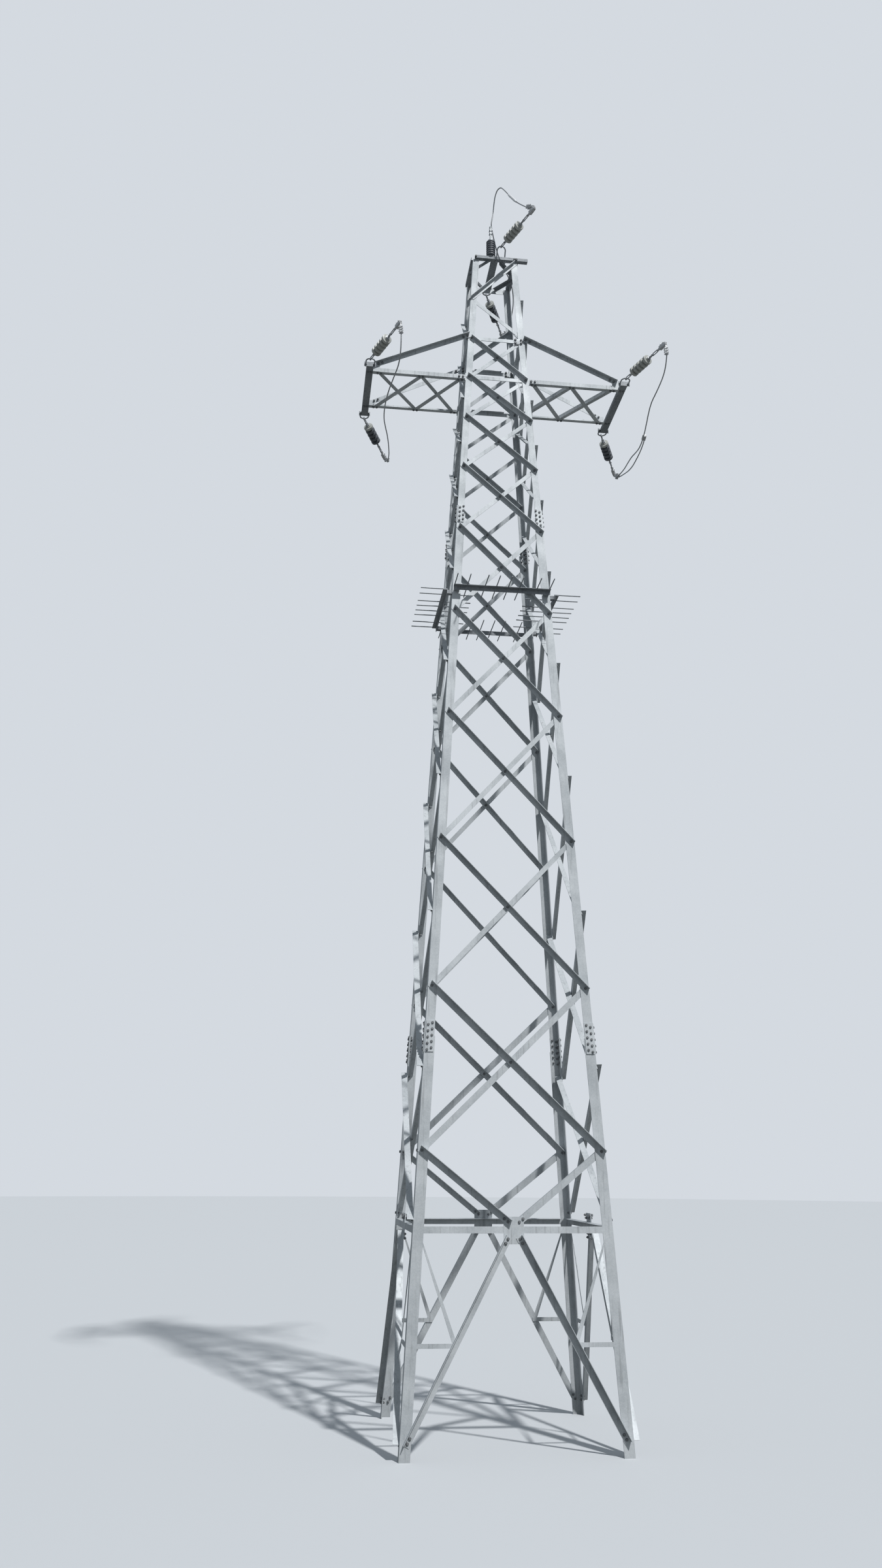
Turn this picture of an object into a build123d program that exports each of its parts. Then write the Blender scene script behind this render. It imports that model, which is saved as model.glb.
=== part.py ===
from build123d import *
import os
from itertools import accumulate
from math import cos, hypot, radians, sin, sqrt, tan

# Lattice tower for a three-phase line. Millimetres, Z up, origin on the tower's axis at ground level.
# X runs along the cross-arms and the near side of the tower faces -Y.

# Body: a square section that narrows evenly from the ground to the top.
BASE_HALF = 1050.0            # half the width between leg heels at the ground
TAPER = 0.0599                # half-width lost per unit of height
TOP_Z = 13050.0               # top of the legs
LEG_LOWER = 100.0             # angle sizes of the three leg lengths
LEG_MIDDLE = 90.0
LEG_UPPER = 75.0
LEG_T = 8.0
SPLICE_LENGTH = 300.0
UPPER_SPLICE_LENGTH = 220.0
SPLICE_T = 8.0
SPLICE_EDGE = 8.0             # from the heel to the splice plate's edge

# Levels on the legs. The bars of a face cross between two levels, and the panels share the height.
ARM_DOWN = 1733.0             # from the leg tops down to the arms' centre line
TIE_PANEL = 553.0             # from the arms up to the level that carries the ties
FRONT_PANELS = (563.0, 664.0, 801.0, 1023.0, 1213.0, 1389.0, 1514.0, 1549.0)
LOW_NODE_Z = 2601.0           # lowest level of the front and back faces
SIDE_PANELS = (849.0, 614.0, 732.0, 912.0, 1118.0, 1301.0, 1452.0, 1531.0, 1391.0)
SIDE_NODE_UP = 15.0           # the side faces' levels start this far above the ties
SIDE_NODE_BASE = 86.0         # and end this far above the base beam
ZIGZAG_DOWN = 580.0           # from the leg tops down to the side node of the head's zigzag
UPPER_JOINT_UP = 181.0        # the legs' upper splice above the front level there
LOWER_JOINT_DOWN = 490.0      # the lower splice below the front level there
GUARD_UP = 239.0              # the guard above the front level there
BASE_BEAM_Z = 1899.0

# Bracing.
ZIGZAG_TOP_GAP = 45.0         # from the leg tops down to the zigzag's end
ZIGZAG_INNER_DROP = 40.0      # the inner zigzag bar starts below the outer one
ZIGZAG_INNER_UP = 75.0        # and ends above the tie level
GAUGE = 37.0                  # from the leg's heel to the bolts of the bracing
END_LAP = 30.0                # the outer bars run this far past their bolts
INNER_LAP = 7.0               # the inner bars stop short of the legs' other flanges
LOWER_BAR = 60.0              # angle sizes of the bracing
MIDDLE_BAR = 50.0
UPPER_BAR = 45.0
BAR_T = 5.0
SPACER_R = 16.0

# Base: level beams, centre gussets, inverted-V braces and short redundant bars.
BASE_BEAM = 60.0
GUSSET_WIDTH = 190.0
GUSSET_TOP = 115.0            # gusset above and below the base beam's centre line
GUSSET_BOTTOM = 125.0
HALF_BRACE_X = 60.0           # where the half-diagonals and the V-braces meet the gusset
HALF_BRACE_UP = 75.0
V_TOP_DOWN = 85.0
V_FOOT_Z = 150.0
V_BAR = 60.0
STRUT_Z = 922.0
STRUT_BAR = 40.0
STRUT_TOP_Z = 1770.0          # upper end of the sloping redundant bar, on the leg

# Cross-arms.
TIE_NODE_LAP = 14.0           # the outer bars that start beside the ties are shorter
LEVEL_BAR = 45.0
LEVEL_COPE = 95.0             # the level angles' inner flange stops this far from the legs
TIP_X = 1500.0                # centre line of the tip channels
TIP_NEAR_OUT = 92.9           # the tip channels run this far past the chords' backs
TIP_FAR_OUT = 177.9
TIP_WIDTH = 80.0
TIP_HEIGHT = 45.0
TIP_T = 6.0
CHORD = 50.0
LACE = 50.0
LACE_INNER_GAP = 33.0         # from the legs' heels to the lacing, past the cleats
LACE_OUTER_GAP = 115.0        # from the tip channel's centre line to the lacing
LACE_SHARE = 0.484            # the inner panel's share of the lacing
TIE_BAR = 50.0
TIE_END_GAP = 70.0            # from the tip channel's centre line to the ties' ends
TIE_EDGE = 20.0               # from the legs' heels to the ties' upper ends
TIE_UP = 36.0
TIE_PLAY = 2.5                # the ties lean slightly off the faces that carry them
TIE_RISE = 55.0               # the ties' outer ends above the arm's centre line
CLEAT_T = 8.0
END_PLATE_WIDTH = 134.0
END_PLATE_HEIGHT = 56.0
END_PLATE_T = 8.0

# Head.
HEAD_WIDTH = 56.0
HEAD_HEIGHT = 38.0
HEAD_T = 5.0
FRONT_BEAM_IN = 23.3          # the front beam stops inside the left leg's heel
FRONT_BEAM_OUT = 131.7        # and runs this far past the right leg's
SIDE_CHANNEL = 65.0
SIDE_CHANNEL_OUT = 20.0       # past the legs' heels
SIDE_CHANNEL_HEIGHT = 40.0
LONG_CHANNEL = 80.0
LONG_CHANNEL_HEIGHT = 45.0
LONG_CHANNEL_T = 6.0
LONG_OUT = 43.7               # past the back legs' heels
KNEE_BAR = 40.0
KNEE_LAP = 14.0
BACK_BEAM = 60.0
BACK_LEDGE = 35.0             # the back beam's top flange points away from the tower

# Anti-climbing guard.
GUARD_BEAM = 50.0
GUARD_T = 6.0
GUARD_PLAY = 3.0              # between the beam and the outer braces' flanges
GUARD_DROP = 22.0             # the side guards lie this much lower, so that the rods pass each other
GUARD_INSET = 5.0             # from the legs' heels in to the guard beams' ends
ROD_R = 6.0
ROD_OUT = 293.0               # beyond the beam's back
ROD_IN = 300.0
ROD_SINK = 1.0                # the rods are welded this deep into the beam
ROD_EDGE = 15.5               # from the legs' heels to the outermost rods
ROD_SHARES = (0.124, 0.362, 0.733, 1.0)

# Tension strings. The near ones run towards -Y, the far ones towards +Y and downwards.
NEAR_TURN = 24.0              # degrees from the Y axis towards +X
NEAR_RISE = 4.0
FAR_TURN = 28.0
FAR_RISE = -16.0
UBOLT_REACH = 105.0           # from the end plate to the middle of the U-bolt's bend
UBOLT_HALF = 50.0             # half the distance between its legs
UBOLT_R = 8.0
UBOLT_TAIL = 34.0             # thread behind the end plate
HOLE_PLAY = 0.3
SEAT_GAP = 0.3                # between level pieces and the sloping faces that carry them
LINK_R = 6.0
LINK_HALF = 15.0              # half the height of a link, between its rod's centres
LINK_LENGTH = 62.0            # along the string, between the bends' centres
EYE_R = 17.0
EYE_PLAY = 2.5                # the eyes' holes are this much larger in radius than the links' rods
EYE_SHIFT = 0.9               # a link's rod sits off the middle of an eye's hole
EYE_NECK = 40.0               # from the first eye to the first shed
EYE_T = 12.0
FITTING_R = 12.0
FITTING_SINK = 8.0            # the steel ends reach this far into the trunk
EYE_ROOT = 4.0                # and this far into the eyes' rings
SHED_COUNT = 5
SHED_PITCH = 58.0
SHED_R = 57.0
SHED_T = 30.0
TRUNK_R = 38.0
LINE_FITTING_LENGTH = 69.0
CLAMP_LENGTH = 130.0
CLAMP_WIDTH = 40.0
CLAMP_HEIGHT = 50.0
CLAMP_TIP = 0.6               # the outer end's height as a share of the inner end's
CLAMP_NECK = 22.0
CLAMP_LUG = 24.0
CLAMP_ROUND = 10.0
NEAR_HEAD_X = 70.0
NEAR_HEAD_LEAN = 80.0
NEAR_HEAD_RISE = 150.0
NEAR_HEAD_BACK = 10.0         # the bent rod stands behind the front beam's middle and leans forward
NEAR_HEAD_TAIL = 22.0

# Post insulator for the top jumper.
POST_X = -50.0
POST_R = 57.0
POST_TRUNK_R = 42.0
POST_SHEDS = 5
POST_PITCH = 43.0
POST_SHED_T = 25.0
POST_SHED_UP = 8.0
POST_FOOT = 45.0
POST_FOOT_R = 21.0
POST_NECK = 40.0
POST_STEM = 165.0
POST_STEM_R = 13.0
POST_SADDLE = 12.0
POST_SADDLE_R = 17.0

# Jumpers.
WIRE_R = 7.0
JOINT_R = 13.0                # connector sleeves at the jumpers' ends
LEFT_PATH = [(-1206, -1218, 11216), (-1202, -1185, 11060), (-1212, -1070, 10935), (-1252, -890, 10890),
             (-1288, -690, 10868), (-1310, -482, 10850), (-1314, -275, 10846), (-1300, -68, 10850),
             (-1266, 134, 10880), (-1230, 335, 10905), (-1202, 536, 10935), (-1180, 736, 10962),
             (-1162, 926, 10990), (-1160, 1110, 11035)]
RIGHT_PATH = [(1792, -1218, 11216), (1797, -1150, 11120), (1806, -1010, 11080), (1808, -840, 11066),
              (1811, -670, 11068), (1813, -510, 11076), (1815, -370, 11030), (1817, -230, 10925),
              (1819, -80, 10845), (1821, 90, 10822), (1823, 270, 10862), (1826, 460, 10920),
              (1828, 660, 10945), (1831, 870, 10967), (1829, 1075, 11020)]
TWIN_PATH = [(1838, -118, 10865), (1839, -80, 10845), (1841, 40, 10812), (1843, 190, 10800), (1845, 350, 10806),
             (1846, 500, 10815), (1846, 680, 10855), (1842, 850, 10912), (1836, 1000, 10965), (1829, 1088, 10997),
             (1819, 1180, 11035)]
TOP_PATH = [(284, -871, 13350), (219, -752, 13490), (160, -645, 13645), (108, -550, 13815), (74, -490, 13918),
            (48, -442, 13985), (14, -384, 13988), (-4, -334, 13935), (-14, -306, 13850), (-20, -290, 13740),
            (-34, -286, 13645), (-46, -266, 13558), (-6, -190, 13465), (48, -85, 13365), (115, 30, 13295),
            (190, 150, 13262), (262, 275, 13262), (322, 400, 13255), (368, 540, 13225), (396, 680, 13170),
            (398, 810, 13095), (378, 895, 13020), (352, 955, 12962)]

# The clamp that holds the right jumper's second strand beside its first.
GRIP_POINT = 8                # the first strand's point that lies in it
GRIP_LENGTH = 54.0
GRIP_WIDTH = 50.0
GRIP_HEIGHT = 30.0
GRIP_ROUND = 4.0
GRIP_LIFT = 4.5               # both strands pass a little above that point

# Turns of the four faces about the tower's axis, seen from outside.
FACES = {"front": 0.0, "right": 90.0, "back": 180.0, "left": 270.0}


def shared(top, low, panels):
    """The levels from top down to low, with the panels between them in proportion."""
    return [top - (top - low) * down / sum(panels) for down in accumulate(panels, initial=0.0)]


def half(z):
    """Half the width between the leg heels at a height."""
    return BASE_HALF - TAPER * z


ARM_Z = TOP_Z - ARM_DOWN
TIE_Z = ARM_Z + TIE_PANEL
ZIGZAG_Z = TOP_Z - ZIGZAG_DOWN
FRONT_LEVELS = [TIE_Z] + shared(ARM_Z, LOW_NODE_Z, FRONT_PANELS)
SIDE_LEVELS = [ZIGZAG_Z] + shared(TIE_Z + SIDE_NODE_UP, BASE_BEAM_Z + SIDE_NODE_BASE, SIDE_PANELS)
UPPER_JOINT_Z = FRONT_LEVELS[4] + UPPER_JOINT_UP
LOWER_JOINT_Z = FRONT_LEVELS[8] - LOWER_JOINT_DOWN
GUARD_Z = FRONT_LEVELS[5] + GUARD_UP
TIP_NEAR_Y = -half(ARM_Z) - TIP_NEAR_OUT
TIP_FAR_Y = half(ARM_Z) + TIP_FAR_OUT
TIE_END_X = TIP_X - TIE_END_GAP
EDGE = half(TOP_Z)
HEAD_LOW = TOP_Z
LONG_FAR_Y = EDGE + LONG_OUT
NEAR_HEAD_Z = HEAD_LOW + NEAR_HEAD_RISE
SIDE_CHANNEL_X = EDGE - SIDE_CHANNEL / 2 + SIDE_CHANNEL_OUT


def leg_size(z):
    """Angle size of the leg at a height."""
    if z < LOWER_JOINT_Z:
        return LEG_LOWER
    return LEG_MIDDLE if z < UPPER_JOINT_Z else LEG_UPPER


def turned(v, turn):
    """A vector turned about Z by a face's angle."""
    c, s = cos(radians(turn)), sin(radians(turn))
    return Vector(v.X * c - v.Y * s, v.X * s + v.Y * c, v.Z)


def face_plane(turn):
    """The plane of a face: x to the right seen from outside, y up the slope, z outwards."""
    slope = sqrt(1 + TAPER * TAPER)
    up = turned(Vector(0, TAPER / slope, 1 / slope), turn)
    across = turned(Vector(1, 0, 0), turn)
    return Plane(origin=turned(Vector(0, -BASE_HALF, 0), turn), x_dir=across, z_dir=across.cross(up))


def up_face(z):
    """Distance up a face's slope for a height."""
    return z * sqrt(1 + TAPER * TAPER)


def on_face(turn, x, z, out=0.0):
    """A point of a face, given by its place across, its height and its distance outwards."""
    return face_plane(turn).from_local_coords(Vector(x, up_face(z), out))


def bar(p, q, normal, size, thick, lap=0.0):
    """An angle bar from p to q. One flange lies flat with its back towards -normal, the other stands along
    normal at the upper edge."""
    run = (q - p).normalized()
    start = p - run * lap
    level = Plane(origin=start, x_dir=normal, z_dir=run)
    sign = -1.0 if level.y_dir.Z < -1e-6 else 1.0
    h = size / 2
    pts = [(0, -h), (thick, -h), (thick, h - thick), (size, h - thick), (size, h), (0, h)]
    with BuildSketch(level) as section:
        with BuildLine():
            Polyline([(x, y * sign) for x, y in pts], close=True)
        make_face()
    extrude(section.sketch, amount=(q - p).length + 2 * lap)


def cross(turn, z_up, z_down, size, lap):
    """One crossed pair: the outer bar falls to the right, the inner bar to the left, a spacer between."""
    n = face_plane(turn).z_dir
    a, b = half(z_up) - GAUGE, half(z_down) - GAUGE
    bar(on_face(turn, -a, z_up), on_face(turn, b, z_down), n, size, BAR_T, lap)
    bar(on_face(turn, -b, z_down, -LEG_T), on_face(turn, a, z_up, -LEG_T), n * -1, size, BAR_T, INNER_LAP)
    mid = a / (a + b)
    spot = on_face(turn, 0, z_up + (z_down - z_up) * mid, -LEG_T - BAR_T / 2)
    with BuildSketch(Plane(origin=spot, z_dir=n)) as section:
        Circle(SPACER_R)
    extrude(section.sketch, amount=LEG_T + BAR_T)


def lattice(turn, levels, size):
    """Crossed pairs between consecutive levels of one face."""
    for i in range(len(levels) - 1):
        cross(turn, levels[i], levels[i + 1], size, TIE_NODE_LAP if levels[i] == TIE_Z else END_LAP)


def level_bar(turn, z, size, cope, flanged=True):
    """A level bar between the legs: a flat flange in the leg flanges' own layer and a coped one inwards."""
    pl = face_plane(turn)
    leg = leg_size(z)
    top, low = z + size / 2, z - size / 2
    a, b = half(top) - leg, half(low) - leg
    with BuildSketch(pl.offset(-LEG_T)) as section:
        with BuildLine():
            Polyline([(-b, up_face(low)), (b, up_face(low)), (a, up_face(top)), (-a, up_face(top))],
                     close=True)
        make_face()
    extrude(section.sketch, amount=LEG_T)
    if flanged:
        with BuildSketch(pl.offset(-size)) as section:
            with Locations((0, up_face(top) - BAR_T / 2)):
                Rectangle(2 * (a - cope), BAR_T)
        extrude(section.sketch, amount=size)


def leg(sx, sy, z_low, z_high, size):
    """One leg length: a level angle section drawn out along the leg's slope."""
    x, y = sx * half(z_low), sy * half(z_low)
    pts = [(0, 0), (size, 0), (size, LEG_T), (LEG_T, LEG_T), (LEG_T, size), (0, size)]
    rise = z_high - z_low
    with BuildSketch(Plane.XY.offset(z_low)) as section:
        with BuildLine():
            Polyline([(x - sx * u, y - sy * v) for u, v in pts], close=True)
        make_face()
    extrude(section.sketch, amount=rise * sqrt(1 + 2 * TAPER * TAPER), dir=(-sx * TAPER, -sy * TAPER, 1))


def legs(z_low, z_high, size):
    """The four legs between two heights."""
    for sx in (-1, 1):
        for sy in (-1, 1):
            leg(sx, sy, z_low, z_high, size)


def splice(turn, z, length, size):
    """Lap plates on both leg flanges of one face."""
    pl = face_plane(turn)
    low, high = z - length / 2, z + length / 2
    for s in (-1, 1):
        pts = [(half(low) - SPLICE_EDGE, low), (half(low) - size, low),
               (half(high) - size, high), (half(high) - SPLICE_EDGE, high)]
        with BuildSketch(pl) as section:
            with BuildLine():
                Polyline([(s * x, up_face(v)) for x, v in pts], close=True)
            make_face()
        extrude(section.sketch, amount=SPLICE_T)


def base_braces(turn):
    """The inverted-V braces of one face, each with its level and its sloping redundant bar."""
    pl = face_plane(turn)
    n = pl.z_dir
    top_z = BASE_BEAM_Z - V_TOP_DOWN
    foot_x = half(V_FOOT_Z) - GAUGE - END_LAP
    share = (top_z - STRUT_Z) / (top_z - V_FOOT_Z)
    meet = HALF_BRACE_X + (foot_x - HALF_BRACE_X) * share
    for s in (-1, 1):
        head, foot = on_face(turn, s * HALF_BRACE_X, top_z), on_face(turn, s * foot_x, V_FOOT_Z)
        bar(head, foot, n, V_BAR, BAR_T, END_LAP)
        h = STRUT_BAR / 2
        low, high = STRUT_Z - h, STRUT_Z + h
        edge = [(half(low) - LEG_LOWER, low), (meet - h, low),
                (meet - h, high), (half(high) - LEG_LOWER, high)]
        with BuildSketch(pl.offset(-LEG_T)) as section:
            with BuildLine():
                Polyline([(s * x, up_face(v)) for x, v in edge], close=True)
            make_face()
        extrude(section.sketch, amount=LEG_T)
        x0, x1 = half(STRUT_TOP_Z) - LEG_LOWER, meet
        w = h * hypot(x0 - x1, STRUT_TOP_Z - STRUT_Z) / (STRUT_TOP_Z - STRUT_Z)
        slope = [(x1 - w, STRUT_Z), (x1 + w, STRUT_Z), (x0, STRUT_TOP_Z - h),
                 (half(STRUT_TOP_Z + w) - LEG_LOWER, STRUT_TOP_Z + w)]
        with BuildSketch(pl.offset(-LEG_T)) as section:
            with BuildLine():
                Polyline([(s * x, up_face(v)) for x, v in slope], close=True)
            make_face()
        extrude(section.sketch, amount=LEG_T)


def base_beam(turn):
    """The level base angle of one face with the gusset at its centre."""
    level_bar(turn, BASE_BEAM_Z, BASE_BEAM, 0.0)
    mid = BASE_BEAM_Z + (GUSSET_TOP - GUSSET_BOTTOM) / 2
    with BuildSketch(face_plane(turn).offset(-LEG_T)) as section:
        with Locations((0, up_face(mid))):
            Rectangle(GUSSET_WIDTH, GUSSET_TOP + GUSSET_BOTTOM)
    extrude(section.sketch, amount=LEG_T)


def half_diagonals(turn):
    """The two bars from the lowest crossing level down to the gusset of one face."""
    n = face_plane(turn).z_dir
    a, z = half(FRONT_LEVELS[-1]) - GAUGE, FRONT_LEVELS[-1]
    low = BASE_BEAM_Z + HALF_BRACE_UP
    bar(on_face(turn, -a, z), on_face(turn, -HALF_BRACE_X, low), n, LOWER_BAR, BAR_T, END_LAP)
    bar(on_face(turn, HALF_BRACE_X, low, -LEG_T), on_face(turn, a, z, -LEG_T), n * -1, LOWER_BAR, BAR_T,
        INNER_LAP)


def channel(p, q, width, height, thick):
    """A channel lying with its web down. p and q are the middle of the web's underside at its ends."""
    run = (q - p).normalized()
    w = width / 2
    pts = [(-w, 0), (w, 0), (w, height), (w - thick, height), (w - thick, thick),
           (thick - w, thick), (thick - w, height), (-w, height)]
    across = Vector(0, 0, 1).cross(run) * -1
    pl = Plane(origin=p, x_dir=across, z_dir=run)
    sign = 1.0 if pl.y_dir.Z > 0 else -1.0
    with BuildSketch(pl) as section:
        with BuildLine():
            Polyline([(x, y * sign) for x, y in pts], close=True)
        make_face()
    extrude(section.sketch, amount=(q - p).length)


def box(x0, x1, y0, y1, z0, z1):
    """A plain plate between two corners."""
    with BuildSketch(Plane.XY.offset(z0)) as section:
        with Locations(((x0 + x1) / 2, (y0 + y1) / 2)):
            Rectangle(abs(x1 - x0), abs(y1 - y0))
    extrude(section.sketch, amount=z1 - z0)


def flat_bar(p, q, z, size, thick, lap):
    """A level angle laid with its flat flange down, from p to q in plan."""
    a, b = Vector(p[0], p[1], z), Vector(q[0], q[1], z)
    bar(a, b, Vector(0, 0, 1), size, thick, lap)


def arm(s):
    """The plan frame of one arm: two chords and two crossed panels of lacing."""
    y = half(ARM_Z)
    low = ARM_Z - CHORD / 2
    inner = s * (half(low) + CLEAT_T + SEAT_GAP)
    tip = s * (TIP_X - TIP_WIDTH / 2)
    for side in (-1, 1):
        box(inner, tip, side * y, side * (y - BAR_T), low, low + CHORD)
        box(inner, tip, side * y, side * (y - CHORD), low, low + BAR_T)
    reach = y - CHORD / 2
    near = half(ARM_Z) + LACE_INNER_GAP + CLEAT_T + LACE / 2
    far = TIP_X - LACE_OUTER_GAP
    spots = [near, near + (far - near) * LACE_SHARE, far]
    for i in range(2):
        a, b = s * spots[i], s * spots[i + 1]
        ends = [(a, -reach), (b, reach)][::-s]
        flat_bar(*ends, low - BAR_T, LACE, BAR_T, LACE / 4)
        flat_bar((a, reach), (b, -reach), low + BAR_T, LACE * 0.9, BAR_T, 0)
        box((a + b) / 2 - SPACER_R, (a + b) / 2 + SPACER_R, -SPACER_R, SPACER_R, low - BAR_T, low + 2 * BAR_T)


def cleats():
    """Plates on the side faces of the legs that carry the arms' chords."""
    z0, z1 = ARM_Z - CHORD, ARM_Z + CHORD
    for turn in (90.0, 270.0):
        pl = face_plane(turn)
        for s in (-1, 1):
            with BuildSketch(pl) as section:
                with BuildLine():
                    Polyline([(s * half(z0), up_face(z0)), (s * (half(z0) - CHORD), up_face(z0)),
                              (s * (half(z1) - CHORD), up_face(z1)), (s * half(z1), up_face(z1))], close=True)
                make_face()
            extrude(section.sketch, amount=CLEAT_T)


def ties(s):
    """The two sloping bars from the upper arm level down to one arm's tip."""
    for side in (-1, 1):
        y0, y1 = half(TIE_Z), half(ARM_Z)
        p = Vector(s * (half(TIE_Z) - TIE_EDGE), side * (y0 + TIE_PLAY), TIE_Z + TIE_UP)
        q = Vector(s * TIE_END_X, side * (y1 + BAR_T + TIE_PLAY), ARM_Z + TIE_RISE)
        n = Vector(0, side, 0)
        bar(p, q, n, TIE_BAR, BAR_T)


def tip_channel(s):
    """A channel that joins the two chord ends, with a plate on each end for the strings."""
    low = ARM_Z - CHORD / 2
    x = s * TIP_X
    channel(Vector(x, TIP_NEAR_Y, low), Vector(x, TIP_FAR_Y, low), TIP_WIDTH, TIP_HEIGHT, TIP_T)
    w = END_PLATE_WIDTH / 2
    z0 = ARM_Z - END_PLATE_HEIGHT / 2
    box(x - w, x + w, TIP_NEAR_Y - END_PLATE_T, TIP_NEAR_Y, z0, z0 + END_PLATE_HEIGHT)
    box(x - w, x + w, TIP_FAR_Y, TIP_FAR_Y + END_PLATE_T, z0, z0 + END_PLATE_HEIGHT)
    ubolt_holes(TIP_NEAR_Y, x, ARM_Z)
    ubolt_holes(TIP_FAR_Y, x, ARM_Z)


def tie_lugs(s):
    """Upright plates at the chords' outer ends that carry the ties."""
    y = half(ARM_Z)
    low = ARM_Z - CHORD / 2
    for side in (-1, 1):
        box(s * (TIE_END_X - LACE), s * (TIP_X - TIP_WIDTH / 2), side * y, side * (y + BAR_T), low,
            ARM_Z + TIE_RISE + TIE_BAR / 2)


def guard(turn, z):
    """One guard beam on two stand-offs across the legs, with its row of level rods."""
    pl = face_plane(turn)
    n = turned(Vector(0, -1, 0), turn)
    stand = MIDDLE_BAR + GUARD_PLAY
    y = half(z) + stand
    w = half(z) - GUARD_INSET
    bar(turned(Vector(-w, -y, z), turn), turned(Vector(w, -y, z), turn), n, GUARD_BEAM, GUARD_T)
    with BuildSketch(pl) as section:
        with Locations((0, up_face(z))):
            with GridLocations(2 * (half(z) - LEG_MIDDLE / 2), 1, 2, 1):
                Rectangle(LEG_MIDDLE * 0.6, GUARD_BEAM * 0.8)
    extrude(section.sketch, amount=stand + GUARD_T / 2)
    top = z + GUARD_BEAM / 2 + ROD_R - ROD_SINK
    for share in ROD_SHARES:
        place = (half(z) - ROD_EDGE) * share
        inside = ROD_IN if place < half(z) - LEG_MIDDLE else 0.0
        for x in (-place, place):
            with BuildSketch(Plane(origin=turned(Vector(x, inside - y, top), turn), z_dir=n)) as section:
                RegularPolygon(ROD_R, 6)
            extrude(section.sketch, amount=inside + ROD_OUT)


def string_dir(far):
    """Unit vector along a tension string, away from the tower."""
    turn, rise = (FAR_TURN, FAR_RISE) if far else (NEAR_TURN, NEAR_RISE)
    a, e = radians(turn), radians(rise)
    return Vector(sin(a) * cos(e), (1 if far else -1) * cos(a) * cos(e), sin(e))


def string_starts(far):
    """The middles of the three U-bolts' bends on one side of the tower."""
    if far:
        y = TIP_FAR_Y + END_PLATE_T + UBOLT_REACH
        top = Vector(0, LONG_FAR_Y + END_PLATE_T + UBOLT_REACH, HEAD_LOW + END_PLATE_HEIGHT / 2)
    else:
        y = TIP_NEAR_Y - END_PLATE_T - UBOLT_REACH
        top = Vector(NEAR_HEAD_X, -EDGE - NEAR_HEAD_LEAN, NEAR_HEAD_Z)
    return [Vector(-TIP_X, y, ARM_Z), Vector(TIP_X, y, ARM_Z), top]


def string_plane(start, far, along):
    """A plane across a string at a distance from the U-bolt's bend, with its x level."""
    d = string_dir(far)
    return Plane(origin=start + d * along, x_dir=(d.Y, -d.X, 0), z_dir=d)


FIRST_LINK = -2.8
FIRST_EYE = FIRST_LINK + LINK_LENGTH + LINK_HALF + EYE_SHIFT
SHEDS_START = FIRST_EYE + EYE_NECK
SHEDS_END = SHEDS_START + SHED_COUNT * SHED_PITCH
SECOND_EYE = SHEDS_END + LINE_FITTING_LENGTH
SECOND_LINK = SECOND_EYE + EYE_SHIFT + LINK_HALF
CLAMP_START = SECOND_LINK + LINK_LENGTH + LINK_HALF + EYE_SHIFT


def ubolt_holes(plate_y, middle_x, z):
    """Cuts the two holes for a U-bolt's legs through an end plate."""
    level = Plane(origin=(middle_x, plate_y + 2 * END_PLATE_T, z), x_dir=(1, 0, 0), z_dir=(0, -1, 0))
    with BuildSketch(level) as section:
        with GridLocations(2 * UBOLT_HALF, 1, 2, 1):
            Circle(UBOLT_R + HOLE_PLAY)
    extrude(section.sketch, amount=4 * END_PLATE_T, mode=Mode.SUBTRACT)


def ubolt(start, far):
    """A bent rod through an end plate, with its legs along Y."""
    s = 1 if far else -1
    r = UBOLT_HALF
    back = -s * (UBOLT_REACH + END_PLATE_T + UBOLT_TAIL)
    bend = -s * r
    with BuildLine() as path:
        Line(start + Vector(-r, back, 0), start + Vector(-r, bend, 0))
        ThreePointArc(start + Vector(-r, bend, 0), start, start + Vector(r, bend, 0))
        Line(start + Vector(r, bend, 0), start + Vector(r, back, 0))
    with BuildSketch(Plane(origin=start + Vector(-r, back, 0), z_dir=(0, s, 0))) as section:
        Circle(UBOLT_R)
    sweep(section.sketch, path=path.line)


def upright_ubolt(start):
    """The near head's bent rod, which stands on the front beam and leans towards the string."""
    r = UBOLT_HALF
    leg = Vector(0, -NEAR_HEAD_LEAN - NEAR_HEAD_BACK, NEAR_HEAD_RISE)
    lean = leg.normalized()
    foot = start - lean * (leg.length + NEAR_HEAD_TAIL)
    side = Vector(1, 0, 0)
    shoulder = start - lean * r
    with BuildLine() as path:
        Line(foot - side * r, shoulder - side * r)
        ThreePointArc(shoulder - side * r, start, shoulder + side * r)
        Line(shoulder + side * r, foot + side * r)
    with BuildSketch(Plane(origin=foot - side * r, z_dir=lean)) as section:
        Circle(UBOLT_R)
    sweep(section.sketch, path=path.line)


def chain_link(start, far, along):
    """An oval link in the upright plane of its string."""
    pl = string_plane(start, far, along)
    d = string_dir(far)
    up = pl.y_dir if pl.y_dir.Z > 0 else pl.y_dir * -1
    a, b = pl.origin, pl.origin + d * LINK_LENGTH
    h = LINK_HALF
    with BuildLine() as path:
        Line(a + up * h, b + up * h)
        ThreePointArc(b + up * h, b + d * h, b - up * h)
        Line(b - up * h, a - up * h)
        ThreePointArc(a - up * h, a - d * h, a + up * h)
    with BuildSketch(Plane(origin=a + up * h, z_dir=d)) as section:
        Circle(LINK_R)
    sweep(section.sketch, path=path.line)


def eye(start, far, along):
    """A flat ring lying level across an upright link's bend."""
    d = string_dir(far)
    pl = string_plane(start, far, along)
    up = pl.y_dir if pl.y_dir.Z > 0 else pl.y_dir * -1
    with BuildSketch(Plane(origin=pl.origin - up * (EYE_T / 2), x_dir=d, z_dir=up)) as section:
        Circle(EYE_R)
        Circle(LINK_R + EYE_PLAY, mode=Mode.SUBTRACT)
    extrude(section.sketch, amount=EYE_T)


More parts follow.
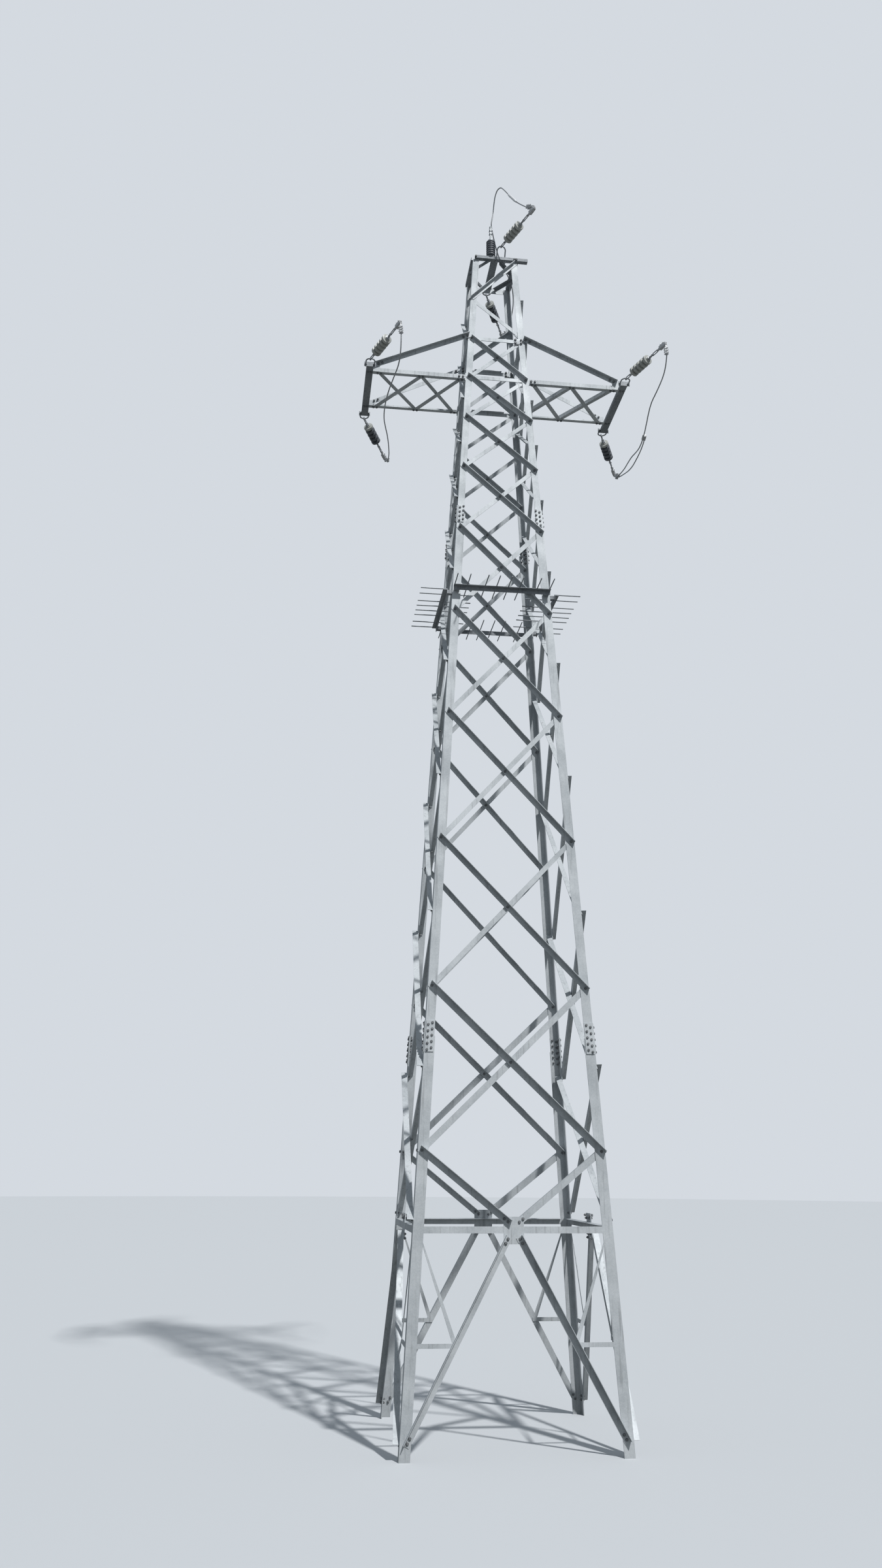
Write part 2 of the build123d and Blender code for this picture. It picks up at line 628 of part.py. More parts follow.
def rod(start, far, a, b, r):
    """A round rod along a string between two distances."""
    with BuildSketch(string_plane(start, far, a)) as section:
        Circle(r)
    extrude(section.sketch, amount=b - a)


def insulator(start, far):
    """A moulded tension insulator with its two steel fittings."""
    eye(start, far, FIRST_EYE)
    rod(start, far, FIRST_EYE + EYE_R - EYE_ROOT, SHEDS_START + FITTING_SINK, FITTING_R)
    rod(start, far, SHEDS_START, SHEDS_END, TRUNK_R)
    for i in range(SHED_COUNT):
        mid = SHEDS_START + SHED_PITCH * (i + 0.5)
        rod(start, far, mid - SHED_T / 2, mid + SHED_T / 2, SHED_R)
    rod(start, far, SHEDS_END - FITTING_SINK, SECOND_EYE - EYE_R + EYE_ROOT, FITTING_R)
    eye(start, far, SECOND_EYE)


def strain_clamp(start, far):
    """A bolted strain clamp: a lug in the second link and a grooved body."""
    eye(start, far, CLAMP_START)
    pl = string_plane(start, far, CLAMP_START + EYE_R - EYE_ROOT)
    with BuildSketch(pl) as section:
        RectangleRounded(CLAMP_LUG, EYE_T * 1.6, CLAMP_ROUND * 0.3)
    extrude(section.sketch, amount=CLAMP_NECK + FITTING_SINK)
    with BuildSketch(pl.offset(CLAMP_NECK)) as wide:
        RectangleRounded(CLAMP_WIDTH, CLAMP_HEIGHT, CLAMP_ROUND)
    with BuildSketch(pl.offset(CLAMP_LENGTH)) as narrow:
        RectangleRounded(CLAMP_WIDTH * 0.75, CLAMP_HEIGHT * CLAMP_TIP, CLAMP_ROUND * 0.7)
    loft([wide.sketch, narrow.sketch])


def clamp_seat(start, far, wire):
    """The point beside a strain clamp's outer end where the connector to a jumper starts."""
    tip = string_plane(start, far, CLAMP_START + EYE_R - EYE_ROOT + CLAMP_LENGTH - JOINT_R)
    up = tip.y_dir if tip.y_dir.Z > 0 else tip.y_dir * -1
    towards = (wire - tip.origin).normalized().dot(up)
    slope = CLAMP_HEIGHT * (1 - CLAMP_TIP) / 2 / (CLAMP_LENGTH - CLAMP_NECK)
    reach = CLAMP_HEIGHT * CLAMP_TIP / 2 + 2 * JOINT_R * slope + JOINT_R * sqrt(1 - towards ** 2) + SEAT_GAP
    return tip.origin + up * (reach if towards > 0 else -reach)


def connector(p, q, onward):
    """A sleeve with two bolted clamps on it, from p almost to q, where the wire goes on towards onward."""
    run = (q - p).normalized()
    q = q - run * (SEAT_GAP + WIRE_R * sin(radians(run.get_angle(onward - q))))
    with BuildSketch(Plane(origin=p, z_dir=run)) as section:
        Circle(JOINT_R)
    extrude(section.sketch, amount=(q - p).length)
    for share in (0.5, 0.82):
        with BuildSketch(Plane(origin=p + (q - p) * share - run * JOINT_R, z_dir=run)) as section:
            RectangleRounded(JOINT_R * 3.0, JOINT_R * 2.4, JOINT_R * 0.3)
        extrude(section.sketch, amount=JOINT_R * 2)


def connectors():
    """The connectors between the six strain clamps and the three jumpers."""
    for far in (False, True):
        for start, path in zip(string_starts(far), (LEFT_PATH, RIGHT_PATH, TOP_PATH)):
            wire, onward = Vector(*path[-1 if far else 0]), Vector(*path[-2 if far else 1])
            connector(clamp_seat(start, far, wire), wire, onward)


def upright(x, z_low, z_high, r):
    """A round length of the post insulator between two heights, over the near legs' heels."""
    with BuildSketch(Plane.XY.offset(z_low)) as section:
        with Locations((x, -EDGE)):
            Circle(r)
    extrude(section.sketch, amount=z_high - z_low)


def post(x, z):
    """The upright insulator on the front beam with its foot and its stem."""
    low = z + POST_FOOT
    top = low + POST_SHEDS * POST_PITCH
    stem = top + POST_NECK
    upright(x, z, low, POST_FOOT_R)
    upright(x, low, top, POST_TRUNK_R)
    for i in range(POST_SHEDS):
        shed = low + POST_PITCH * i + POST_SHED_UP
        upright(x, shed, shed + POST_SHED_T, POST_R)
    upright(x, top, stem, POST_TRUNK_R * 0.7)
    upright(x, stem, stem + POST_STEM, POST_STEM_R)
    upright(x, stem + POST_STEM, stem + POST_STEM + POST_SADDLE, POST_SADDLE_R)


def wire(points, r, mode):
    """A round bar along its chosen points: straight runs joined by arcs as large as the runs allow."""
    pts = [Vector(*p) for p in points]
    radii = []
    for a, b, c in zip(pts, pts[1:], pts[2:]):
        run = min((b - a).length, (c - b).length)
        radii.append(0.45 * run / tan(radians((b - a).get_angle(c - b) / 2)))
    with BuildLine() as path:
        FilletPolyline(*pts, radius=radii)
    with BuildSketch(Plane(origin=pts[0], z_dir=pts[1] - pts[0])) as section:
        Circle(r)
    sweep(section.sketch, path=path.line, mode=mode)
    return sum(e.length for e in path.edges()), min(radii)


def jumper(points):
    """A bare conductor, with its length and its tightest bend printed."""
    length, tightest = wire(points, WIRE_R, Mode.ADD)
    print("length", round(length), "smallest radius", round(tightest))


def strand_clamp():
    """The bolted clamp round both strands of the right jumper."""
    before, at, after = [Vector(*p) for p in RIGHT_PATH[GRIP_POINT - 1:GRIP_POINT + 2]]
    run = (after - before).normalized()
    beside = (TWIN_PATH[1][0] - at.X) / 2
    start = at + Vector(beside, 0, GRIP_LIFT) - run * (GRIP_LENGTH / 2)
    with BuildSketch(Plane(origin=start, x_dir=(1, 0, 0), z_dir=run)) as section:
        RectangleRounded(GRIP_WIDTH, GRIP_HEIGHT, GRIP_ROUND)
    extrude(section.sketch, amount=GRIP_LENGTH)
    wire(RIGHT_PATH, WIRE_R + SEAT_GAP, Mode.SUBTRACT)
    wire(TWIN_PATH, WIRE_R + SEAT_GAP, Mode.SUBTRACT)


def keep(builder, name):
    """Labels one finished sub-part and writes it to its own file."""
    builder.part.label = name
    export_step(builder.part, "parts/" + name + ".step")
    print(name, len(builder.part.solids()), "solids", round(builder.part.volume / 1e6, 2), "litres")


os.makedirs("parts", exist_ok=True)

# Legs and splices.
with BuildPart() as lower_legs:
    legs(0.0, LOWER_JOINT_Z, LEG_LOWER)
keep(lower_legs, "lower_legs")

with BuildPart() as middle_legs:
    legs(LOWER_JOINT_Z, UPPER_JOINT_Z, LEG_MIDDLE)
keep(middle_legs, "middle_legs")

with BuildPart() as upper_legs:
    legs(UPPER_JOINT_Z, TOP_Z, LEG_UPPER)
keep(upper_legs, "upper_legs")

with BuildPart() as lower_splice_plates:
    for turn in FACES.values():
        splice(turn, LOWER_JOINT_Z, SPLICE_LENGTH, LEG_MIDDLE)
keep(lower_splice_plates, "lower_splice_plates")

with BuildPart() as upper_splice_plates:
    for turn in FACES.values():
        splice(turn, UPPER_JOINT_Z, UPPER_SPLICE_LENGTH, LEG_UPPER)
keep(upper_splice_plates, "upper_splice_plates")

# Bracing of the four faces. The side faces' levels lie halfway between those of the front and back.
for name, turn in FACES.items():
    levels = FRONT_LEVELS if name in ("front", "back") else SIDE_LEVELS
    low = [z for z in levels if z < UPPER_JOINT_Z]
    high = [z for z in levels if z > UPPER_JOINT_Z] + low[:1]
    with BuildPart() as lower_lattice:
        lattice(turn, [z for z in low if z > LOWER_JOINT_Z], MIDDLE_BAR)
        deep = [z for z in low if z > LOWER_JOINT_Z][-1:] + [z for z in low if z < LOWER_JOINT_Z]
        lattice(turn, deep, LOWER_BAR)
        if name in ("front", "back"):
            half_diagonals(turn)
    keep(lower_lattice, name + "_lower_lattice")
    with BuildPart() as upper_lattice:
        lattice(turn, high, UPPER_BAR)
        if name in ("front", "back"):
            n = face_plane(turn).z_dir
            a, b = half(ZIGZAG_Z) - GAUGE, half(TIE_Z) - GAUGE
            bar(on_face(turn, -a, ZIGZAG_Z - ZIGZAG_INNER_DROP, -LEG_T),
                on_face(turn, b, TIE_Z + ZIGZAG_INNER_UP, -LEG_T), n * -1, UPPER_BAR, BAR_T, INNER_LAP)
        if name == "front":
            top = TOP_Z - ZIGZAG_TOP_GAP
            bar(on_face(turn, -a, ZIGZAG_Z), on_face(turn, half(top) - GAUGE, top), n,
                UPPER_BAR, BAR_T, END_LAP)
    keep(upper_lattice, name + "_upper_lattice")
    with BuildPart() as braces:
        base_braces(turn)
    keep(braces, name + "_base_braces")

with BuildPart() as base_beams:
    for turn in FACES.values():
        base_beam(turn)
keep(base_beams, "base_beams")

with BuildPart() as arm_level_beams:
    for turn in FACES.values():
        level_bar(turn, ARM_Z, LEVEL_BAR, LEVEL_COPE, flanged=turn in (0.0, 180.0))
        level_bar(turn, TIE_Z, LEVEL_BAR, LEVEL_COPE)
keep(arm_level_beams, "arm_level_beams")

# Cross-arms.
with BuildPart() as arm_cleats:
    cleats()
keep(arm_cleats, "arm_cleats")

with BuildPart() as left_arm:
    arm(-1)
    tie_lugs(-1)
keep(left_arm, "left_arm")

with BuildPart() as right_arm:
    arm(1)
    tie_lugs(1)
keep(right_arm, "right_arm")

with BuildPart() as left_ties:
    ties(-1)
keep(left_ties, "left_ties")

with BuildPart() as right_ties:
    ties(1)
keep(right_ties, "right_ties")

with BuildPart() as left_tip_channel:
    tip_channel(-1)
keep(left_tip_channel, "left_tip_channel")

with BuildPart() as right_tip_channel:
    tip_channel(1)
keep(right_tip_channel, "right_tip_channel")

# Head.
with BuildPart() as front_top_beam:
    channel(Vector(FRONT_BEAM_IN - EDGE, -EDGE, HEAD_LOW), Vector(EDGE + FRONT_BEAM_OUT, -EDGE, HEAD_LOW),
            HEAD_WIDTH, HEAD_HEIGHT, HEAD_T)
    with BuildSketch(Plane.XY.offset(HEAD_LOW - HEAD_T)) as section:
        with Locations((NEAR_HEAD_X, NEAR_HEAD_BACK - EDGE)):
            with GridLocations(2 * UBOLT_HALF, 1, 2, 1):
                Circle(UBOLT_R * 1.6)
    extrude(section.sketch, amount=3 * HEAD_T, mode=Mode.SUBTRACT)
keep(front_top_beam, "front_top_beam")

with BuildPart() as back_top_beam:
    y = half(HEAD_LOW - BACK_BEAM) + SEAT_GAP
    box(-EDGE, EDGE, y, y + BACK_LEDGE, HEAD_LOW, HEAD_LOW + BAR_T)
    box(-EDGE, EDGE, y, y + BAR_T, HEAD_LOW - BACK_BEAM, HEAD_LOW + BAR_T)
keep(back_top_beam, "back_top_beam")

with BuildPart() as side_top_beams:
    for s in (-1, 1):
        x = s * SIDE_CHANNEL_X
        channel(Vector(x, HEAD_WIDTH / 2 - EDGE, HEAD_LOW), Vector(x, EDGE, HEAD_LOW),
                SIDE_CHANNEL, SIDE_CHANNEL_HEIGHT, BAR_T)
keep(side_top_beams, "side_top_beams")

with BuildPart() as long_top_channel:
    channel(Vector(0, HEAD_WIDTH / 2 - EDGE, HEAD_LOW + BAR_T), Vector(0, LONG_FAR_Y, HEAD_LOW + BAR_T),
            LONG_CHANNEL, LONG_CHANNEL_HEIGHT, LONG_CHANNEL_T)
    w = END_PLATE_WIDTH / 2
    box(-w, w, LONG_FAR_Y, LONG_FAR_Y + END_PLATE_T, HEAD_LOW, HEAD_LOW + END_PLATE_HEIGHT)
    ubolt_holes(LONG_FAR_Y, 0, HEAD_LOW + END_PLATE_HEIGHT / 2)
keep(long_top_channel, "long_top_channel")

with BuildPart() as head_knee_braces:
    for sx in (-1, 1):
        for sy in (-1, 1):
            a = Vector(sx * LONG_CHANNEL, sy * (EDGE - KNEE_BAR / 2), HEAD_LOW)
            b = Vector(sx * SIDE_CHANNEL_X, sy * KNEE_BAR, HEAD_LOW)
            bar(a, b, Vector(0, 0, -1), KNEE_BAR, BAR_T, KNEE_LAP)
keep(head_knee_braces, "head_knee_braces")

# Anti-climbing guard.
for name, turn in FACES.items():
    with BuildPart() as guard_part:
        guard(turn, GUARD_Z - (GUARD_DROP if name in ("left", "right") else 0.0))
    keep(guard_part, name + "_guard")

# Line fittings.
with BuildPart() as post_insulator:
    post(POST_X, HEAD_LOW + HEAD_T)
keep(post_insulator, "post_insulator")

with BuildPart() as near_insulators:
    for start in string_starts(False):
        insulator(start, False)
keep(near_insulators, "near_insulators")

with BuildPart() as far_insulators:
    for start in string_starts(True):
        insulator(start, True)
keep(far_insulators, "far_insulators")

with BuildPart() as string_ubolts:
    for start in string_starts(False)[:2]:
        ubolt(start, False)
    for start in string_starts(True):
        ubolt(start, True)
    upright_ubolt(string_starts(False)[2])
keep(string_ubolts, "string_ubolts")

with BuildPart() as chain_links:
    for far in (False, True):
        for start in string_starts(far):
            chain_link(start, far, FIRST_LINK)
            chain_link(start, far, SECOND_LINK)
keep(chain_links, "chain_links")

with BuildPart() as strain_clamps:
    for far in (False, True):
        for start in string_starts(far):
            strain_clamp(start, far)
keep(strain_clamps, "strain_clamps")

with BuildPart() as jumper_connectors:
    connectors()
keep(jumper_connectors, "jumper_connectors")

with BuildPart() as left_jumper:
    jumper(LEFT_PATH)
keep(left_jumper, "left_jumper")

with BuildPart() as right_jumper:
    jumper(RIGHT_PATH)
keep(right_jumper, "right_jumper")

with BuildPart() as right_twin_jumper:
    jumper(TWIN_PATH)
keep(right_twin_jumper, "right_twin_jumper")

with BuildPart() as jumper_joint:
    strand_clamp()
keep(jumper_joint, "jumper_joint")

with BuildPart() as top_jumper:
    jumper(TOP_PATH)
keep(top_jumper, "top_jumper")
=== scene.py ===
# %% [markdown]
# A steel lattice tower for a power line stands here as a fixed frame made in CAD. Blender gives it the
# looks: weathered zinc on the angles, hundreds of bolts, moulded insulators, chain links, clamps and the
# bare jumpers that hang between the strings. Everything is in metres, in the frame's own axes.

# %% Load the frame
import bpy
from itertools import accumulate
from math import atan2, cos, hypot, pi, radians, sin, sqrt
from mathutils import Matrix, Vector


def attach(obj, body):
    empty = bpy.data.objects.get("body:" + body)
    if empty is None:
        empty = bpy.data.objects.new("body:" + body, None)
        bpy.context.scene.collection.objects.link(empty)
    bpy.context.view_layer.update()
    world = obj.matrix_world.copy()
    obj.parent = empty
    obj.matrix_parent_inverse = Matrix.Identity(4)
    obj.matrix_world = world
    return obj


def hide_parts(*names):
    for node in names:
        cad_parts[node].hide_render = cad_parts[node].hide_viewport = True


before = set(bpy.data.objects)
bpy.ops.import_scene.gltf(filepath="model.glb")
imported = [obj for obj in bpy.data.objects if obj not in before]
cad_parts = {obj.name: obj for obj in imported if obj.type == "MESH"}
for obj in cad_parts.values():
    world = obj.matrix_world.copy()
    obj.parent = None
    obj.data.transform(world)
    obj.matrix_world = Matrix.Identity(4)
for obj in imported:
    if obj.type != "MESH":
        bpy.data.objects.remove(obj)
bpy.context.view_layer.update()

# %% [markdown]
# The camera stands low in front of the tower, a little to the left, and looks up. A wide lens is needed,
# because the tower is over thirteen metres tall and the camera is near. The small roll is the slight tilt
# of the view.

# %% Camera
LENS_MM, SENSOR_MM = 29.35, 36.0
CAMERA_PLACE = (-2.1688, -13.2416, 2.4838)
TURN, RISE, ROLL = -6.795, 16.528, 0.3515
cam_data = bpy.data.cameras.new("view")
cam_data.sensor_fit = "VERTICAL"
cam_data.sensor_height = SENSOR_MM
cam_data.lens = LENS_MM
cam = bpy.data.objects.new("view", cam_data)
bpy.context.scene.collection.objects.link(cam)
aim = Matrix.Rotation(radians(TURN), 4, "Z") @ Matrix.Rotation(radians(90 + RISE), 4, "X")
roll = Matrix.Rotation(radians(ROLL), 4, "Z")
cam.matrix_world = Matrix.Translation(CAMERA_PLACE) @ aim @ roll
bpy.context.scene.camera = cam
print("camera height", round(cam.matrix_world.translation.z, 2))

# %% [markdown]
# An angle bar is two thin flanges at a right angle, and only light from above tells them apart: the flat one
# is bright and the one that stands out has a dark underside. So one soft sun stands high, behind the camera
# and to the right, and a pale dome fills the shade. The floor looks pale to the camera, but throws little
# light back up, or the undersides would be as bright as the faces.

# %% Dome, sun and floor
bpy.context.scene.view_settings.view_transform = "Standard"
DOME_COLOUR = (0.80, 0.90, 1.0, 1.0)
DOME_STRENGTH = 0.36
SUN_STRENGTH, SUN_HEIGHT, SUN_TURN, SUN_SPREAD = 2.9, 52, 24, 2.5
FLOOR_R = 90
PALE = (0.66, 0.70, 0.75, 1.0)
FLOOR_SEEN = (0.60, 0.62, 0.64, 1.0)
FLOOR_BOUNCE = (0.16, 0.165, 0.16, 1.0)


def make_dome():
    world = bpy.data.worlds.new("dome")
    bpy.context.scene.world = world
    world.use_nodes = True
    nodes, links = world.node_tree.nodes, world.node_tree.links
    nodes.clear()
    light = nodes.new("ShaderNodeBackground")
    light.inputs["Color"].default_value = DOME_COLOUR
    light.inputs["Strength"].default_value = DOME_STRENGTH
    seen = nodes.new("ShaderNodeBackground")
    seen.inputs["Color"].default_value = PALE
    seen.inputs["Strength"].default_value = 1.0
    rays = nodes.new("ShaderNodeLightPath")
    mix = nodes.new("ShaderNodeMixShader")
    out = nodes.new("ShaderNodeOutputWorld")
    links.new(rays.outputs["Is Camera Ray"], mix.inputs["Fac"])
    links.new(light.outputs["Background"], mix.inputs[1])
    links.new(seen.outputs["Background"], mix.inputs[2])
    links.new(mix.outputs["Shader"], out.inputs["Surface"])


def make_sun():
    data = bpy.data.lights.new("sun", "SUN")
    data.energy = SUN_STRENGTH
    data.angle = radians(SUN_SPREAD)
    lamp = bpy.data.objects.new("sun", data)
    bpy.context.scene.collection.objects.link(lamp)
    lamp.rotation_euler = (radians(90 - SUN_HEIGHT), 0, radians(SUN_TURN))


make_dome()
make_sun()
print("dome", DOME_STRENGTH, "sun", SUN_STRENGTH)

# %% Floor
bpy.ops.mesh.primitive_circle_add(vertices=64, radius=FLOOR_R, fill_type="NGON", location=(0, 0, 0))
floor = bpy.context.object
floor.name = "floor"
floor_paint = bpy.data.materials.new("floor_paint")
floor_paint.use_nodes = True
floor_nodes, floor_links = floor_paint.node_tree.nodes, floor_paint.node_tree.links
floor_shader = floor_nodes["Principled BSDF"]
floor_shader.inputs["Roughness"].default_value = 0.95
floor_rays = floor_nodes.new("ShaderNodeLightPath")
floor_tone = floor_nodes.new("ShaderNodeMix")
floor_tone.data_type = "RGBA"
floor_tone.inputs["A"].default_value = FLOOR_BOUNCE
floor_tone.inputs["B"].default_value = FLOOR_SEEN
floor_links.new(floor_rays.outputs["Is Camera Ray"], floor_tone.inputs["Factor"])
floor_links.new(floor_tone.outputs["Result"], floor_shader.inputs["Base Color"])
floor.data.materials.append(floor_paint)
print("floor radius", FLOOR_R)

# %% [markdown]
# Every finish here is built the same way, so one helper makes the material and its coordinates, and small
# helpers add noise, spots and colour steps. The patterns read Object coordinates in metres, which are the
# same on every piece, so the zinc runs on from one bar to the next without a seam.

# %% Helpers for finishes
def finish_base(name, rough, metal):
    mat = bpy.data.materials.new(name)
    mat.use_nodes = True
    tree = mat.node_tree
    shader = tree.nodes["Principled BSDF"]
    shader.inputs["Metallic"].default_value = metal
    shader.inputs["Roughness"].default_value = rough
    coords = tree.nodes.new("ShaderNodeTexCoord")
    return mat, tree, shader, coords.outputs["Object"]


def stretched(tree, coords, scale):
    node = tree.nodes.new("ShaderNodeMapping")
    node.inputs["Scale"].default_value = scale
    tree.links.new(coords, node.inputs["Vector"])
    return node.outputs["Vector"]


def clouds(tree, coords, scale, detail=4.0, rough=0.55):
    node = tree.nodes.new("ShaderNodeTexNoise")
    node.inputs["Scale"].default_value = scale
    node.inputs["Detail"].default_value = detail
    node.inputs["Roughness"].default_value = rough
    tree.links.new(coords, node.inputs["Vector"])
    return node.outputs["Fac"]


def grains(tree, coords, scale):
    node = tree.nodes.new("ShaderNodeTexVoronoi")
    node.inputs["Scale"].default_value = scale
    tree.links.new(coords, node.inputs["Vector"])
    bw = tree.nodes.new("ShaderNodeRGBToBW")
    tree.links.new(node.outputs["Color"], bw.inputs["Color"])
    return bw.outputs["Val"]


def steps(tree, value, stops):
    node = tree.nodes.new("ShaderNodeValToRGB")
    ramp = node.color_ramp
    while len(ramp.elements) < len(stops):
        ramp.elements.new(0.5)
    for element, (place, colour) in zip(ramp.elements, stops):
        element.position = place
        element.color = (*colour, 1) if len(colour) == 3 else colour
    tree.links.new(value, node.inputs["Fac"])
    return node.outputs["Color"]


def blended(tree, share, first, second, kind="MIX"):
    node = tree.nodes.new("ShaderNodeMix")
    node.data_type = "RGBA"
    node.blend_type = kind
    if isinstance(share, float):
        node.inputs["Factor"].default_value = share
    else:
        tree.links.new(share, node.inputs["Factor"])
    for value, socket in ((first, node.inputs["A"]), (second, node.inputs["B"])):
        if isinstance(value, tuple):
            socket.default_value = (*value, 1)
        else:
            tree.links.new(value, socket)
    return node.outputs["Result"]


def spread(tree, value, low, high):
    node = tree.nodes.new("ShaderNodeMapRange")
    node.inputs["To Min"].default_value = low
    node.inputs["To Max"].default_value = high
    tree.links.new(value, node.inputs["Value"])
    return node.outputs["Result"]


def roughened(tree, shader, height, strength, distance):
    node = tree.nodes.new("ShaderNodeBump")
    node.inputs["Strength"].default_value = strength
    node.inputs["Distance"].default_value = distance
    tree.links.new(height, node.inputs["Height"])
    tree.links.new(node.outputs["Normal"], shader.inputs["Normal"])


print("finish helpers ready")

# %% [markdown]
# Old hot-dip zinc isn't one grey. It has faint crystals about a centimetre wide, broad cloudy patches where
# the shine has gone, and thin dark runs where rain comes down the steel. The runs are noise that is stretched
# along Z. The same recipe gives all the tones of zinc: pale on the legs and bars, and others for the forged
# fittings, the bolts and the post's steel. A darker zinc from the same recipe is painted shade: it goes on
# the guard, most of the head and the arms' tip channels, which are seen from below in their own shade.

# %% Zinc finishes
def zinc(name, pale, dull, dark, runs, metal=0.25, rough=(0.50, 0.72)):
    mat, tree, shader, coords = finish_base(name, 0.55, metal)
    patches = clouds(tree, coords, 2.3, 6.0, 0.6)
    colour = steps(tree, patches, [(0.36, dull), (0.62, pale)])
    crystal = grains(tree, coords, 85.0)
    colour = blended(tree, 0.10, colour, steps(tree, crystal, [(0.2, dull), (0.8, (0.9, 0.92, 0.94))]))
    rain = clouds(tree, stretched(tree, coords, (34.0, 34.0, 0.9)), 1.0, 3.0)
    mask = steps(tree, rain, [(0.56, (0, 0, 0)), (0.74, (runs, runs, runs))])
    colour = blended(tree, mask, colour, dark)
    specks = clouds(tree, coords, 160.0, 2.0)
    colour = blended(tree, steps(tree, specks, [(0.66, (0, 0, 0)), (0.78, (0.3, 0.3, 0.3))]), colour, dark)
    tree.links.new(colour, shader.inputs["Base Color"])
    tree.links.new(spread(tree, patches, rough[1], rough[0]), shader.inputs["Roughness"])
    roughened(tree, shader, clouds(tree, coords, 240.0, 3.0), 0.22, 0.0012)
    return mat


zinc_old = zinc("zinc_old", (0.58, 0.61, 0.63), (0.42, 0.45, 0.47), (0.22, 0.23, 0.24), 0.5)
zinc_new = zinc("zinc_new", (0.66, 0.69, 0.71), (0.52, 0.55, 0.57), (0.30, 0.31, 0.32), 0.25, 0.5,
                (0.34, 0.52))
# The darker zinc is painted shade, for pieces whose faces are seen from below in shade.
shade_painted_zinc = zinc("shade_painted_zinc", (0.30, 0.32, 0.34), (0.20, 0.22, 0.24), (0.12, 0.12, 0.13), 0.5, 0.3)
forged = zinc("forged", (0.44, 0.46, 0.48), (0.30, 0.32, 0.34), (0.15, 0.14, 0.13), 0.45, 0.55, (0.38, 0.58))
bolt_steel = zinc("bolt_steel", (0.19, 0.20, 0.21), (0.13, 0.14, 0.15), (0.07, 0.07, 0.07), 0.4)
print("zinc finishes:", zinc_old.name, zinc_new.name, shade_painted_zinc.name, forged.name, bolt_steel.name)

# %% [markdown]
# The near insulators are a pale grey-beige, and the post is a dark grey. The far insulators get the dark skin
# too, as painted shade, since they are seen from below in shade, and their first shed gets the pale skin, as
# a painted sunlit highlight. The skin is smooth and a little glossy, with a film of dust on top of each shed
# that also stands in for light on the upward faces (painted highlight), so the dust is mixed in by noise and
# by how far the surface faces up.

# %% Insulator skin
def insulator_skin(name, low, high, dust_and_highlight):
    mat, tree, shader, coords = finish_base(name, 0.38, 0.0)
    cloudy = clouds(tree, coords, 22.0, 5.0)
    colour = steps(tree, cloudy, [(0.35, low), (0.68, high)])
    shape = tree.nodes.new("ShaderNodeNewGeometry")
    split = tree.nodes.new("ShaderNodeSeparateXYZ")
    tree.links.new(shape.outputs["Normal"], split.inputs["Vector"])
    # Upward faces get the lighter colour: dust, and partly a painted highlight where light falls from above.
    up = steps(tree, split.outputs["Z"], [(0.15, (0, 0, 0)), (0.95, (0.55, 0.55, 0.55))])
    film = steps(tree, clouds(tree, coords, 60.0, 4.0), [(0.3, (0, 0, 0)), (0.7, (1, 1, 1))])
    dust_and_highlight_mask = blended(tree, 0.6, up, film, "MULTIPLY")
    colour = blended(tree, dust_and_highlight_mask, colour, dust_and_highlight)
    tree.links.new(colour, shader.inputs["Base Color"])
    tree.links.new(spread(tree, cloudy, 0.3, 0.52), shader.inputs["Roughness"])
    roughened(tree, shader, clouds(tree, coords, 400.0, 2.0), 0.08, 0.0005)
    return mat


pale_skin = insulator_skin("pale_skin", (0.38, 0.39, 0.37), (0.50, 0.51, 0.48), (0.66, 0.67, 0.65))
# The dark skin is the post's own colour; on the far insulators it is painted shade.
dark_skin = insulator_skin("dark_skin", (0.085, 0.095, 0.11), (0.14, 0.15, 0.17), (0.36, 0.37, 0.38))
print("insulator skins:", pale_skin.name, dark_skin.name)

# %% [markdown]
# Cast clamps and bare wire are aluminium: more metallic than the zinc of the bars, with fine sand-cast grain
# on the clamps. The wire is stranded, so its bump is a fine wave over the curve's own UV map. The splice
# sleeve is the brightest metal on the tower.

# %% Aluminium finishes
def cast_aluminium():
    mat, tree, shader, coords = finish_base("cast_aluminium", 0.5, 0.6)
    tone = clouds(tree, coords, 30.0, 5.0)
    tree.links.new(steps(tree, tone, [(0.3, (0.47, 0.48, 0.49)), (0.7, (0.63, 0.64, 0.65))]),
                   shader.inputs["Base Color"])
    tree.links.new(spread(tree, tone, 0.4, 0.62), shader.inputs["Roughness"])
    roughened(tree, shader, clouds(tree, coords, 600.0, 2.0), 0.25, 0.0006)
    return mat


def stranded_wire():
    mat, tree, shader, coords = finish_base("stranded_wire", 0.45, 0.65)
    tone = clouds(tree, coords, 9.0, 4.0)
    tree.links.new(steps(tree, tone, [(0.3, (0.36, 0.37, 0.38)), (0.7, (0.52, 0.53, 0.54))]),
                   shader.inputs["Base Color"])
    lay = tree.nodes.new("ShaderNodeTexWave")
    lay.inputs["Scale"].default_value = 1.0
    tree.links.new(stretched(tree, tree.nodes["Texture Coordinate"].outputs["UV"], (60.0, 6.0, 1.0)),
                   lay.inputs["Vector"])
    roughened(tree, shader, lay.outputs["Fac"], 0.6, 0.0015)
    return mat


cast_metal = cast_aluminium()
wire_metal = stranded_wire()
bright_sleeve = zinc("bright_sleeve", (0.86, 0.87, 0.88), (0.78, 0.79, 0.80), (0.6, 0.6, 0.6), 0.1, 0.3,
                     (0.35, 0.5))
print("aluminium finishes:", cast_metal.name, wire_metal.name, bright_sleeve.name)

# %% Finishes on the frame's own pieces
# These pieces get the darker zinc as painted shade: their faces seen from below lie in shade.
SHADE_PAINTED_PARTS = ("left_tip_channel", "right_tip_channel", "front_top_beam", "side_top_beams", "long_top_channel",
        "head_knee_braces")


